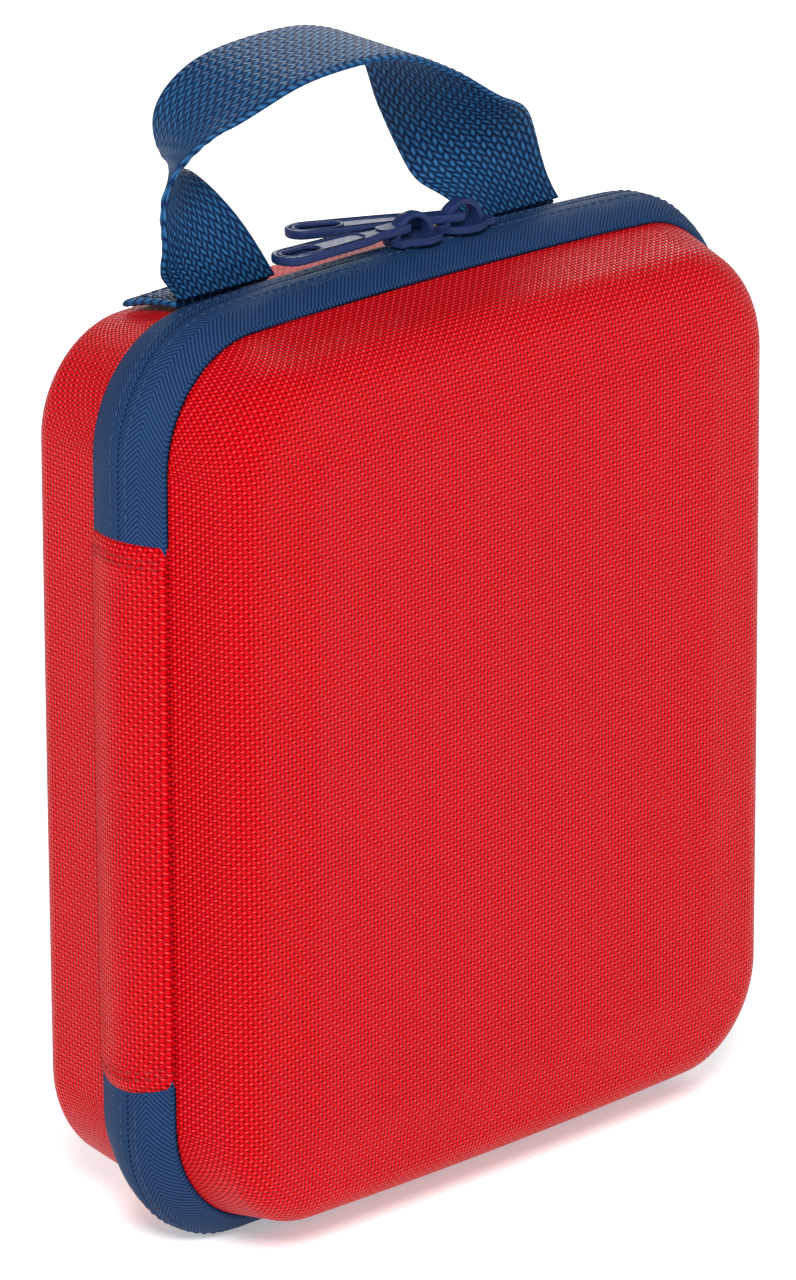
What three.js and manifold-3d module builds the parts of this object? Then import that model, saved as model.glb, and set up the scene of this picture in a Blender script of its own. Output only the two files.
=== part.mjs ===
// Zipped hard-shell first aid kit: a moulded clamshell case with its contents.
//
// Millimetres, +Z up. The case stands on its zip band with the front facing -Y and the fabric hinge
// at -X. Everything is modelled about the seam plane (Y = 0, Z = 0 at the middle of the outline) and
// the whole kit is then lifted so that its lowest line is at Z = 0 and its depth is centred on Y = 0.

import * as THREE from 'three';
import { LoftGeometry } from 'three/addons/geometries/LoftGeometry.js';
import * as BufferGeometryUtils from 'three/addons/utils/BufferGeometryUtils.js';
import Module from 'manifold-3d';

const wasm = await Module();
wasm.setup();

// ---------------------------------------------------------------- driving dimensions

// Outline of the case at the edges of the zip band, seen from the front
const HALF_WIDTH = 75;
const HALF_HEIGHT = 85.3;
const CORNER_RADIUS = 22;
const CORNER_EASE = 0.7;       // how much of an inset the corner radius loses
const END_BOW = 2;             // outward bow of the top and bottom runs
const SIDE_BOW = 0.3;          // outward bow of the two sides

// Zip band around the seam
const BAND_FRONT = 8.4;
const BAND_REAR = 9.8;
const BAND_CROWN = 3.5;
const TAPE_THICKNESS = 1;
const TAPE_GAP = 0.7;          // half the gap between the two tapes
const COIL_WIDTH = 1.9;
const COIL_HEIGHT = 1.4;
const HINGE_TOP = 49.5;
const HINGE_BOTTOM = -56;

// Moulded shells
const FRONT_DEPTH = 18.2;      // from the band edge to the raised front panel
const REAR_DEPTH = 22.9;
const SHELL_WALL = 3.2;
const LINING = 0.8;
const RIM_INSET = 0.75;
const SIDE_INSET = 3;
const SIDE_DRAFT = THREE.MathUtils.degToRad(15);
const ROUND_RADIUS = 8.2;
const FACE_SLOPE = THREE.MathUtils.degToRad(6.5);
const PANEL_INSET = 21.8;      // edge of the raised flat panel
const PANEL_SHIFT = -1.2;      // the front panel sits a little low and to the left

// Webbing handle
const WEBBING_WIDTH = 25;
const WEBBING_THICKNESS = 1.6;

const GAP = 0.3;               // clearance between pieces that touch

// Mesh resolution
const CORNER_STEPS = 6;
const END_STEPS = 6;
const SIDE_STEPS = 2;
const HINGE_STEPS = 2;
const ROUND_STEPS = 4;
const CROWN_STEPS = 3;

// ---------------------------------------------------------------- materials

function material(colour, roughness, metalness = 0) {
  return new THREE.MeshStandardMaterial({ color: colour, roughness, metalness });
}

const RED_FABRIC = material(0xd0101e, 0.6);
const LINING_FABRIC = material(0x2a2d33, 0.9);
const ZIP_TAPE = material(0x24406a, 0.75);
const ZIP_COIL = material(0x1a3157, 0.45);
const NAVY_ENAMEL = material(0x1d2b4e, 0.3, 0.2);
const WEBBING = material(0x24507a, 0.7);
const BINDING = material(0x1b1d22, 0.85);
const NET = material(0x14161a, 0.9);
const ELASTIC = material(0x16181c, 0.8);
const STEEL = material(0xb8bcc2, 0.3, 0.9);
const GAUZE = material(0xf1eee6, 0.95);
const PAPER = material(0xf4f3ef, 0.8);
const GREEN_FILM = material(0x3f8f6a, 0.4);
const BLUE_FILM = material(0x3c78b8, 0.35);
const SILVER_FILM = material(0xc9ccd1, 0.2, 0.8);

// ---------------------------------------------------------------- solids

// A closed geometry as a manifold-3d solid, and back
function toSolid(geometry) {
  const bare = new THREE.BufferGeometry();
  bare.setAttribute('position', geometry.getAttribute('position'));
  bare.setIndex(geometry.getIndex());
  const merged = BufferGeometryUtils.mergeVertices(bare, 1e-4);
  return new wasm.Manifold(new wasm.Mesh({
    numProp: 3,
    vertProperties: Float32Array.from(merged.attributes.position.array),
    triVerts: Uint32Array.from(merged.index.array),
  }));
}

function toGeometry(solid) {
  const mesh = solid.getMesh();
  const geometry = new THREE.BufferGeometry();
  geometry.setAttribute('position', new THREE.BufferAttribute(Float32Array.from(mesh.vertProperties), 3));
  geometry.setIndex(new THREE.BufferAttribute(Uint32Array.from(mesh.triVerts), 1));
  return geometry;
}

function join(...geometries) {
  return toGeometry(geometries.map(toSolid).reduce((all, next) => all.add(next)));
}

function cut(geometry, ...tools) {
  return toGeometry(tools.map(toSolid).reduce((rest, tool) => rest.subtract(tool), toSolid(geometry)));
}

// A shape drawn in X and Y, extruded upwards from Z = 0 (or centred on it)
function plate(shape, thickness, centred = false, curveSegments = 6) {
  const geometry = new THREE.ExtrudeGeometry(shape, { depth: thickness, bevelEnabled: false, curveSegments });
  return centred ? geometry.translate(0, 0, -thickness / 2) : geometry;
}

function roundedRectangle(width, height, radius) {
  const x = width / 2 - radius;
  const y = height / 2 - radius;
  const shape = new THREE.Shape();
  shape.absarc(x, -y, radius, -Math.PI / 2, 0);
  shape.absarc(x, y, radius, 0, Math.PI / 2);
  shape.absarc(-x, y, radius, Math.PI / 2, Math.PI);
  shape.absarc(-x, -y, radius, Math.PI, 1.5 * Math.PI);
  return shape;
}

// A flat pack standing in the XZ plane, thickness along Y from nearY to farY
function pack(width, height, nearY, farY, x, z, radius = 4) {
  const geometry = plate(roundedRectangle(width, height, radius), farY - nearY, true, 2);
  return geometry.rotateX(Math.PI / 2).translate(x, (nearY + farY) / 2, z);
}

// ---------------------------------------------------------------- case outline

// Bows the ends outwards; the crown of the bottom run stays straight, so the case stands on it
function bowed(x, y, z, inset) {
  const nearEnd = Math.min(1, Math.abs(z) / HALF_HEIGHT) ** 4;
  const nearSide = Math.min(1, Math.abs(x) / HALF_WIDTH) ** 4;
  const acrossWidth = Math.min(1, (x / HALF_WIDTH) ** 2);
  const alongHeight = Math.min(1, (z / HALF_HEIGHT) ** 2);
  const straightened = z < 0 ? Math.max(0, -inset / BAND_CROWN) : 0;
  return new THREE.Vector3(
    x + Math.sign(x) * SIDE_BOW * nearSide * (1 - alongHeight),
    y,
    z + Math.sign(z) * END_BOW * nearEnd * (1 - acrossWidth * (1 - straightened)),
  );
}

// The rounded outline at one inset and depth, counterclockwise from the foot of the hinge
function outline(inset, y, shift = 0) {
  const w = HALF_WIDTH - inset;
  const h = HALF_HEIGHT - inset;
  const r = CORNER_RADIUS - CORNER_EASE * inset;
  const points = [];
  const add = (x, z) => points.push(bowed(x, y, z, inset).add(new THREE.Vector3(shift, 0, shift)));
  const line = (x0, z0, x1, z1, steps) => {
    for (let i = 0; i < steps; i++) add(x0 + ((x1 - x0) * i) / steps, z0 + ((z1 - z0) * i) / steps);
  };
  const corner = (cx, cz, start) => {
    for (let i = 0; i < CORNER_STEPS; i++) {
      const angle = start + (Math.PI / 2) * (i / CORNER_STEPS);
      add(cx + r * Math.cos(angle), cz + r * Math.sin(angle));
    }
  };
  line(-w, HINGE_BOTTOM, -w, r - h, 1);
  corner(r - w, r - h, Math.PI);
  line(r - w, -h, w - r, -h, END_STEPS);
  corner(w - r, r - h, -Math.PI / 2);
  line(w, r - h, w, h - r, SIDE_STEPS);
  corner(w - r, h - r, 0);
  line(w - r, h, r - w, h, END_STEPS);
  corner(r - w, h - r, Math.PI / 2);
  line(-w, h - r, -w, HINGE_TOP, 1);
  line(-w, HINGE_TOP, -w, HINGE_BOTTOM, HINGE_STEPS);
  return points;
}

// Number of outline points that lie on the zipped stretch, ends included
const ZIPPED_POINTS = 4 * CORNER_STEPS + 2 * END_STEPS + SIDE_STEPS + 3;

// ---------------------------------------------------------------- shells and linings

// Insets and depths from the rim to the panel edge of a shell surface, offset inwards from the outside
function shellProfile(depth, offset) {
  const radius = ROUND_RADIUS - offset;
  const centreInset = SIDE_INSET + ROUND_RADIUS * Math.cos(SIDE_DRAFT);
  const faceStart = centreInset - ROUND_RADIUS * Math.sin(FACE_SLOPE);
  const faceStartDepth = depth - (PANEL_INSET - faceStart) * Math.tan(FACE_SLOPE);
  const centreDepth = faceStartDepth - ROUND_RADIUS * Math.cos(FACE_SLOPE);
  const profile = [{ inset: RIM_INSET + offset, depth: 0 }];
  for (let i = 0; i <= ROUND_STEPS; i++) {
    const angle = THREE.MathUtils.lerp(SIDE_DRAFT, Math.PI / 2 - FACE_SLOPE, i / ROUND_STEPS);
    profile.push({ inset: centreInset - radius * Math.cos(angle), depth: centreDepth + radius * Math.sin(angle) });
  }
  profile.push({ inset: PANEL_INSET, depth: depth - offset });
  return profile;
}

// The solid inside one surface of a half case, from its rim (or beyond it) to its flat panel
function bowl(side, depth, offset, panelShift, beyondRim) {
  const edge = side < 0 ? BAND_FRONT : BAND_REAR;
  const profile = shellProfile(depth, offset);
  if (beyondRim) profile.unshift({ inset: profile[0].inset, depth: -beyondRim });
  const sections = profile.map((p) => {
    const shift = (panelShift * Math.max(0, p.depth)) / depth;
    return outline(p.inset, side * (edge + GAP + p.depth), shift);
  });
  if (side > 0) sections.forEach((section) => section.reverse());
  return new LoftGeometry(sections, { capStart: true, capEnd: true });
}

// A moulded half case between two offsets; side is -1 for the front half and 1 for the rear half
function mouldedHalf(side, depth, outer, inner, panelShift) {
  return cut(bowl(side, depth, outer, panelShift, 0), bowl(side, depth, inner, panelShift, 1));
}

function shell(side, depth, shift) {
  return mouldedHalf(side, depth, 0, SHELL_WALL, shift);
}

function lining(side, depth, shift) {
  return mouldedHalf(side, depth, SHELL_WALL + GAP, SHELL_WALL + GAP + LINING, shift);
}

// A closed band that follows the whole outline, from a section of [inset, y] corners
function ringBand(section) {
  const rings = section.map(([inset, y]) => outline(inset, y));
  return new LoftGeometry([...rings, rings[0]]);
}

// Binding tape that covers the seam between shell and zip tape on the inside
function seamBinding(side) {
  const edge = side < 0 ? BAND_FRONT : BAND_REAR;
  const outside = RIM_INSET + SHELL_WALL + LINING + 2 * GAP;
  const inside = outside + 1;
  const near = side * (edge - 2.5);
  const far = side * (edge + 5);
  const draft = 1.2;
  const section = [[outside, near], [inside, near], [inside + draft, far], [outside + draft, far]];
  return ringBand(side < 0 ? section.reverse() : section);
}

// ---------------------------------------------------------------- zip

// Outward height of the band at a distance from the seam
function crown(y, edge) {
  return BAND_CROWN * (1 - (y / edge) ** 2);
}

// A strip that follows part of the outline, from a closed section of [outward, y] corners
function strip(section, from, count) {
  const rings = section.map(([outward, y]) => outline(-outward, y));
  const total = rings[0].length;
  const sections = [];
  for (let i = 0; i < count; i++) sections.push(rings.map((ring) => ring[(from + i) % total].clone()));
  return new LoftGeometry(sections, { capStart: true, capEnd: true });
}

// Section of a fabric layer on the crowned band, between two distances from the seam
function crownedSection(side, edge, nearSeam, lift, thickness) {
  const outer = [];
  for (let i = 0; i <= CROWN_STEPS; i++) {
    const y = THREE.MathUtils.lerp(edge, nearSeam, i / CROWN_STEPS);
    outer.push([crown(y, edge) + lift, side * y]);
  }
  const inner = outer.map(([outward, y]) => [outward - thickness, y]).reverse();
  const section = [...outer, ...inner];
  return side < 0 ? section : section.reverse();
}

function zipTape(side) {
  const edge = side < 0 ? BAND_FRONT : BAND_REAR;
  return strip(crownedSection(side, edge, TAPE_GAP, 0, TAPE_THICKNESS), 0, ZIPPED_POINTS);
}

// The coil is sewn to the inside face of each tape
function zipCoil(side) {
  const top = BAND_CROWN * (1 - ((TAPE_GAP + COIL_WIDTH) / BAND_FRONT) ** 2) - TAPE_THICKNESS - GAP;
  const near = side * TAPE_GAP;
  const far = side * (TAPE_GAP + COIL_WIDTH);
  const section = [[top, far], [top, near], [top - COIL_HEIGHT, near], [top - COIL_HEIGHT, far]];
  return strip(side < 0 ? section : section.reverse(), 0, ZIPPED_POINTS);
}

// Fabric spine that joins the two halves where the zip stops
function hingePanel() {
  const outer = [];
  for (let i = 0; i <= 2 * CROWN_STEPS; i++) {
    const y = THREE.MathUtils.lerp(-BAND_FRONT, BAND_REAR, i / (2 * CROWN_STEPS));
    outer.push([crown(y, y < 0 ? BAND_FRONT : BAND_REAR), y]);
  }
  const inner = outer.map(([outward, y]) => [outward - TAPE_THICKNESS, y]).reverse();
  const panel = strip([...outer, ...inner], ZIPPED_POINTS - 1, HINGE_STEPS + 1);
  const trim = new THREE.BoxGeometry(20, 30, HINGE_TOP - HINGE_BOTTOM - 2 * GAP);
  trim.translate(-HALF_WIDTH, 0, (HINGE_TOP + HINGE_BOTTOM) / 2);
  return toGeometry(toSolid(panel).intersect(toSolid(trim)));
}

// ---------------------------------------------------------------- sliders and pulls

const TOP_LINE = HALF_HEIGHT + END_BOW + BAND_CROWN;   // crown of the top run at its middle
const SLIDER_LENGTH = 12.4;
const SLIDER_WIDTH = 9;
const PLATE_THICKNESS = 1.1;
const TOP_PLATE_Z = TOP_LINE + 0.4;
const BOTTOM_PLATE_Z = TOP_LINE - 5;
const POST_WIDTH = 0.8;
const BAIL_LENGTH = 10;
const BAIL_HEIGHT = 5;
const BAIL_WIDTH = 1.3;
const BAIL_STRAP = 1.5;
const PULL_LENGTH = 33.5;
const PULL_WIDTH = 7.6;
const PULL_RING_WIDTH = 4;
const PULL_THICKNESS = 1.4;

// Shield outline: narrow where the closed zip leaves, wide and rounded where the two halves enter
function sliderPlate() {
  const half = SLIDER_LENGTH / 2;
  const wide = SLIDER_WIDTH / 2;
  const shape = new THREE.Shape();
  shape.moveTo(-half, -0.6 * wide);
  shape.lineTo(-half + 4, -0.75 * wide);
  shape.lineTo(0.5, -wide);
  shape.quadraticCurveTo(half, -wide, half, 0);
  shape.quadraticCurveTo(half, wide, 0.5, wide);
  shape.lineTo(-half + 4, 0.75 * wide);
  shape.lineTo(-half, 0.6 * wide);
  shape.closePath();
  return plate(shape, PLATE_THICKNESS);
}

// Arched bail that holds the pull, standing on the top plate
function bail() {
  const shape = new THREE.Shape();
  shape.absellipse(0, 0, BAIL_LENGTH / 2, BAIL_HEIGHT, 0, Math.PI, false);
  shape.lineTo(-BAIL_LENGTH / 2, -0.5);
  shape.lineTo(-BAIL_LENGTH / 2 + BAIL_STRAP, -0.5);
  shape.absellipse(0, 0, BAIL_LENGTH / 2 - BAIL_STRAP, BAIL_HEIGHT - BAIL_STRAP, Math.PI, 0, true);
  shape.lineTo(BAIL_LENGTH / 2 - BAIL_STRAP, -0.5);
  shape.lineTo(BAIL_LENGTH / 2, -0.5);
  shape.closePath();
  return plate(shape, BAIL_WIDTH, true).rotateX(Math.PI / 2);
}

// A slider about its own centre, wide end towards +X for direction 1
function slider(direction, x) {
  const top = sliderPlate().translate(0, 0, TOP_PLATE_Z);
  const bottom = sliderPlate().translate(0, 0, BOTTOM_PLATE_Z);
  const postHeight = TOP_PLATE_Z - BOTTOM_PLATE_Z;
  const post = new THREE.BoxGeometry(3, POST_WIDTH, postHeight);
  post.translate(SLIDER_LENGTH / 2 - 3, 0, BOTTOM_PLATE_Z + postHeight / 2 + PLATE_THICKNESS / 2);
  const body = join(top, bottom, post);
  if (direction < 0) body.rotateZ(Math.PI);
  const arch = bail().translate(-1, 0, TOP_PLATE_Z + PLATE_THICKNESS);
  return join(body, arch).translate(x, 0, 0);
}

// Tapered pull tab that points to -X, with the bar of its ring at the origin
function pull() {
  const ring = PULL_RING_WIDTH / 2;
  const wide = PULL_WIDTH / 2;
  const tip = -PULL_LENGTH + wide;
  const shape = new THREE.Shape();
  shape.moveTo(-7, -ring);
  shape.lineTo(-11, -ring - 0.9);
  shape.lineTo(tip, -wide);
  shape.absarc(tip, 0, wide, -Math.PI / 2, Math.PI / 2, true);
  shape.lineTo(-11, ring + 0.9);
  shape.lineTo(-7, ring);
  shape.lineTo(-1.6, ring);
  shape.quadraticCurveTo(0.8, ring, 0.8, 0);
  shape.quadraticCurveTo(0.8, -ring, -1.6, -ring);
  shape.closePath();
  const eye = roundedRectangle(6.4, 2.6, 1.2);
  const slot = roundedRectangle(8.5, 3.6, 1.7);
  const recess = roundedRectangle(9, 3.8, 1);
  const body = plate(shape, PULL_THICKNESS, true, 3);
  const eyeCut = plate(eye, 3, true, 2).translate(-3.9, 0, 0);
  const slotCut = plate(slot, 3, true, 2).translate(-PULL_LENGTH + 6.2, 0, 0);
  const recessCut = plate(recess, 1, true, 1).translate(-17, 0, PULL_THICKNESS / 2 + 0.1);
  return cut(body, eyeCut, slotCut, recessCut);
}

// ---------------------------------------------------------------- handle

// Route of the middle of the webbing, from the left foot over the arch to the right foot
const HANDLE_ROUTE = [
  [-41, 9.8, 88.4],
  [-49.3, 10.2, 100.6],
  [-52.7, 11.5, 110.7],
  [-48.6, 11.5, 120.2],
  [-38, 10, 126.8],
  [-22, 10, 129.1],
  [-7, 9.5, 128.4],
  [6, 9.8, 122.8],
  [15.5, 10.2, 112.6],
  [26, 10.8, 101.6],
  [35.4, 9.8, 88.4],
];
const HANDLE_STEPS = 28;
const ARCH_TILT = 0.07;        // the front edge of the arch hangs a little lower

// The webbing turns half round on its way: flat to the case at both feet, flat on top of the arch.
// Each foot is cut level along the seam; a little higher the section is square to the route.
function handleLoop() {
  const route = new THREE.CatmullRomCurve3(HANDLE_ROUTE.map((p) => new THREE.Vector3(...p)));
  const sections = [];
  for (let i = 0; i <= HANDLE_STEPS; i++) {
    const t = i / HANDLE_STEPS;
    const fromFoot = 1 - Math.abs(2 * t - 1);
    const turned = THREE.MathUtils.smoothstep(fromFoot, 0.02, 0.75) / 2;
    const turn = Math.PI * (1 + (t < 0.5 ? turned : 1 - turned));
    const squared = THREE.MathUtils.smoothstep(fromFoot, 0, 0.35);
    const tangent = route.getTangentAt(t);
    const across = new THREE.Vector3(Math.cos(turn), Math.sin(turn), ARCH_TILT * Math.sin(turn));
    across.addScaledVector(tangent, -across.dot(tangent) * squared).normalize();
    const normal = new THREE.Vector3().crossVectors(tangent, across).normalize();
    const middle = route.getPointAt(t);
    const corner = (a, n) => middle.clone()
      .addScaledVector(across, (a * WEBBING_WIDTH) / 2)
      .addScaledVector(normal, (n * WEBBING_THICKNESS) / 2);
    sections.unshift([corner(1, 1), corner(1, -1), corner(-1, -1), corner(-1, 1)]);
  }
  return new LoftGeometry(sections, { capStart: true, capEnd: true });
}

// The webbing's sewn end, folded back over the top of the rear shell
function strapTail(x) {
  const start = BAND_REAR + 4 * GAP;
  const drop = (y) => 0.012 * (y - start) ** 2 + 0.02 * (y - start);
  const sections = [];
  for (let i = 0; i <= 6; i++) {
    const y = start + (i / 6) * 13;
    const ring = [];
    const halfWidth = WEBBING_WIDTH / 2;
    for (const [px, lift] of [[-1, 1], [1, 1], [1, 0], [-1, 0]]) {
      const edgeX = x + px * halfWidth;
      const top = HALF_HEIGHT + END_BOW * (1 - (edgeX / HALF_WIDTH) ** 2) - RIM_INSET;
      ring.push(new THREE.Vector3(edgeX, y, top + GAP + 0.5 - drop(y) + lift * WEBBING_THICKNESS));
    }
    sections.push(ring);
  }
  return new LoftGeometry(sections, { capStart: true, capEnd: true });
}

// ---------------------------------------------------------------- contents

function roll(radius, length, bore) {
  const profile = [[bore, -length / 2], [radius, -length / 2], [radius, length / 2], [bore, length / 2]];
  profile.push(profile[0]);
  const geometry = new THREE.LatheGeometry(profile.map((p) => new THREE.Vector2(...p)), 20);
  return geometry;
}

// Sticking tape on its reel, lying with its axis along Y
function tapeRoll() {
  return roll(13.4, 12.5, 9);
}

// Crepe bandage rolled up, standing along Z
function bandageRoll(length) {
  return new THREE.CylinderGeometry(8.5, 8.5, length, 20).rotateX(Math.PI / 2);
}

const BLADE_LENGTH = 44;
const BLADE_THICKNESS = 1.6;
const FINGER_RADIUS = 10;
const FINGER_HOLE = 6.8;
const FINGER_X = -34;
const FINGER_Z = 11;

// One half of the scissors about its pivot, blade towards +X and finger ring towards -X
function scissorHalf(side) {
  const blade = new THREE.Shape();
  blade.moveTo(-5, -3.5 * side);
  blade.lineTo(BLADE_LENGTH, 0.2 * side);
  blade.lineTo(BLADE_LENGTH - 3, 2.4 * side);
  blade.lineTo(5, 4.6 * side);
  blade.lineTo(-5, 3 * side);
  blade.closePath();
  const shank = new THREE.Shape();
  shank.moveTo(-3, 3 * side);
  shank.lineTo(FINGER_X + 4, -side * (FINGER_Z - FINGER_RADIUS + 1.5));
  shank.lineTo(FINGER_X + 6, -side * (FINGER_Z - 5));
  shank.lineTo(-3, -3 * side);
  shank.closePath();
  const ring = new THREE.Shape();
  ring.absarc(FINGER_X, -side * FINGER_Z, FINGER_RADIUS, 0, 2 * Math.PI);
  const hole = new THREE.Shape();
  hole.absarc(FINGER_X, -side * FINGER_Z, FINGER_HOLE, 0, 2 * Math.PI);
  const bore = new THREE.Shape();
  bore.absarc(0, 0, 2.2, 0, 2 * Math.PI);
  const flat = (shape) => plate(shape, BLADE_THICKNESS, true);
  const drill = (shape) => plate(shape, 4, true);
  const body = cut(join(flat(blade), flat(shank), flat(ring)), drill(hole), drill(bore));
  return body.rotateX(Math.PI / 2);
}

// Rivet with a head on each side of the two halves
function scissorRivet(halfGrip) {
  const head = 3.4;
  const shank = 1.9;
  const thickness = 0.7;
  const profile = [
    [0, -halfGrip - thickness], [head, -halfGrip - thickness], [head, -halfGrip], [shank, -halfGrip],
    [shank, halfGrip], [head, halfGrip], [head, halfGrip + thickness], [0, halfGrip + thickness],
  ];
  return new THREE.LatheGeometry(profile.map((p) => new THREE.Vector2(...p)), 16);
}

// Spring tweezers: two arms joined at the left end, drawn in X and Z
function tweezers() {
  const shape = new THREE.Shape();
  shape.moveTo(0, -1.2);
  shape.lineTo(20, -4);
  shape.lineTo(66, -1.4);
  shape.lineTo(66, -0.4);
  shape.lineTo(20, -2.8);
  shape.lineTo(6, -0.6);
  shape.lineTo(6, 0.6);
  shape.lineTo(20, 2.8);
  shape.lineTo(66, 0.4);
  shape.lineTo(66, 1.4);
  shape.lineTo(20, 4);
  shape.lineTo(0, 1.2);
  shape.closePath();
  return plate(shape, 4.5, true).rotateX(Math.PI / 2);
}

// ---------------------------------------------------------------- assembly

const kit = new THREE.Group();
const caseGroup = new THREE.Group();
kit.add(caseGroup);

function addPart(name, geometry, look, x = 0, y = 0, z = 0) {
  const mesh = new THREE.Mesh(geometry, look);
  mesh.name = name;
  mesh.position.set(x, y, z);
  caseGroup.add(mesh);
  return mesh;
}

// Shells, linings, zip and hinge
addPart('rear_shell', shell(1, REAR_DEPTH, 0), RED_FABRIC);
addPart('rear_lining', lining(1, REAR_DEPTH, 0), LINING_FABRIC);
addPart('rear_seam_binding', seamBinding(1), BINDING);
addPart('rear_zip_tape', zipTape(1), ZIP_TAPE);
addPart('rear_zip_coil', zipCoil(1), ZIP_COIL);
addPart('hinge_panel', hingePanel(), RED_FABRIC);
addPart('front_shell', shell(-1, FRONT_DEPTH, PANEL_SHIFT), RED_FABRIC);
addPart('front_lining', lining(-1, FRONT_DEPTH, PANEL_SHIFT), LINING_FABRIC);
addPart('front_seam_binding', seamBinding(-1), BINDING);
addPart('front_zip_tape', zipTape(-1), ZIP_TAPE);
addPart('front_zip_coil', zipCoil(-1), ZIP_COIL);

// Two sliders that meet nose to nose, each with its pull laid over to the left
const LEFT_SLIDER_X = -1.6;
const RIGHT_SLIDER_X = 11.6;
const BAIL_BAR = 1.25;         // from the middle of the bail to the bar of the pull's ring
const RIGHT_PULL_TURN = THREE.MathUtils.degToRad(36);
const RIGHT_PULL_DROP = THREE.MathUtils.degToRad(3);
const PULL_Z = TOP_PLATE_Z + PLATE_THICKNESS + 2.1;
addPart('slider_left', slider(1, LEFT_SLIDER_X), NAVY_ENAMEL);
addPart('slider_right', slider(-1, RIGHT_SLIDER_X), NAVY_ENAMEL);
addPart('pull_left', pull(), NAVY_ENAMEL, LEFT_SLIDER_X - 1 - BAIL_BAR, 0.2, PULL_Z);
const pullRight = addPart('pull_right', pull(), NAVY_ENAMEL, RIGHT_SLIDER_X - 1 - BAIL_BAR, -1.65, PULL_Z);
pullRight.rotation.set(0, -RIGHT_PULL_DROP, -RIGHT_PULL_TURN, 'ZYX');

// Webbing handle and its sewn ends
addPart('handle_loop', handleLoop(), WEBBING);
addPart('strap_tail_left', strapTail(HANDLE_ROUTE[0][0]), WEBBING);
addPart('strap_tail_right', strapTail(HANDLE_ROUTE.at(-1)[0]), WEBBING);

// Rear half: packs against the back, dressings over them, rolls down the right side
const BACK_LAYER = [18.2, 26.6];
const FRONT_LAYER = [9, 17.6];
const ROLL_X = 46;
const ROLL_Y = 17.8;
addPart('triangular_bandage_pack', pack(84, 62, ...BACK_LAYER, -14, 35), PAPER);
addPart('cold_pack', pack(84, 66, ...BACK_LAYER, -14, -32), BLUE_FILM);
addPart('gauze_pad_pack', pack(76, 62, ...FRONT_LAYER, -16, 35), GREEN_FILM);
addPart('gloves_pack', pack(80, 62, ...FRONT_LAYER, -15, -32), PAPER);
addPart('bandage_roll_large', bandageRoll(60), GAUZE, ROLL_X, ROLL_Y, 37);
addPart('bandage_roll_small', bandageRoll(40), GAUZE, ROLL_X, ROLL_Y, -14.5);
addPart('tape_roll', tapeRoll(), GAUZE, ROLL_X, ROLL_Y, -49);
addPart('elastic_strap_upper', pack(134, 20, 7.4, 8.4, 0, 35, 1), ELASTIC);
addPart('elastic_strap_lower', pack(134, 20, 7.4, 8.4, 0, -32, 1), ELASTIC);

// Front half: net pocket below, scissors and tweezers under elastic loops above
const POCKET_LAYER = [-20.6, -14];
const SCISSORS_X = -4;
const SCISSORS_Z = 38;
const SCISSORS_Y = -17.9;
const HALF_GRIP = BLADE_THICKNESS + GAP;
addPart('wipes_pack', pack(52, 34, ...POCKET_LAYER, -28, -46), GREEN_FILM);
addPart('plaster_pack', pack(52, 34, ...POCKET_LAYER, 28, -46), PAPER);
addPart('foil_blanket_pack', pack(108, 28, ...POCKET_LAYER, 0, -13), SILVER_FILM);
addPart('mesh_pocket', pack(118, 70, -13.6, -12.9, 0, -31, 8), NET);
addPart('pocket_binding', pack(118, 6, -14.2, -12.6, 0, 7.4, 0.7), ELASTIC);
addPart('scissor_blade_lower', scissorHalf(1), STEEL, SCISSORS_X, SCISSORS_Y - HALF_GRIP / 2, SCISSORS_Z);
addPart('scissor_blade_upper', scissorHalf(-1), STEEL, SCISSORS_X, SCISSORS_Y + HALF_GRIP / 2, SCISSORS_Z);
addPart('scissor_rivet', scissorRivet(HALF_GRIP), STEEL, SCISSORS_X, SCISSORS_Y, SCISSORS_Z);
addPart('tweezers', tweezers(), STEEL, -8, SCISSORS_Y, 61);
addPart('elastic_loop_left', pack(14, 36, -15, -14.2, -26, 39, 1), ELASTIC);
addPart('elastic_loop_right', pack(14, 46, -15, -14.2, 24, 47, 1), ELASTIC);

// Stand the kit on the crown of its bottom run, centred front to back
const FRONT_FACE = BAND_FRONT + GAP + FRONT_DEPTH;
const REAR_FACE = BAND_REAR + GAP + REAR_DEPTH;
caseGroup.position.set(0, (FRONT_FACE - REAR_FACE) / 2, TOP_LINE);

export default kit;
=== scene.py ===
"""Zipped hard-shell first aid kit: the looks of the case, its zip, its webbing handle and its contents.

Shapes are worked out in millimetres about the seam plane, as in the part's own source (Y = 0 on the seam,
Z = 0 at the middle of the outline), and to_row() puts them in the row frame, in metres.
"""

import random
from math import atan, copysign, cos, exp, hypot, pi, radians, sin, tan

import bmesh
import bpy
from mathutils import Matrix, Vector


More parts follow.
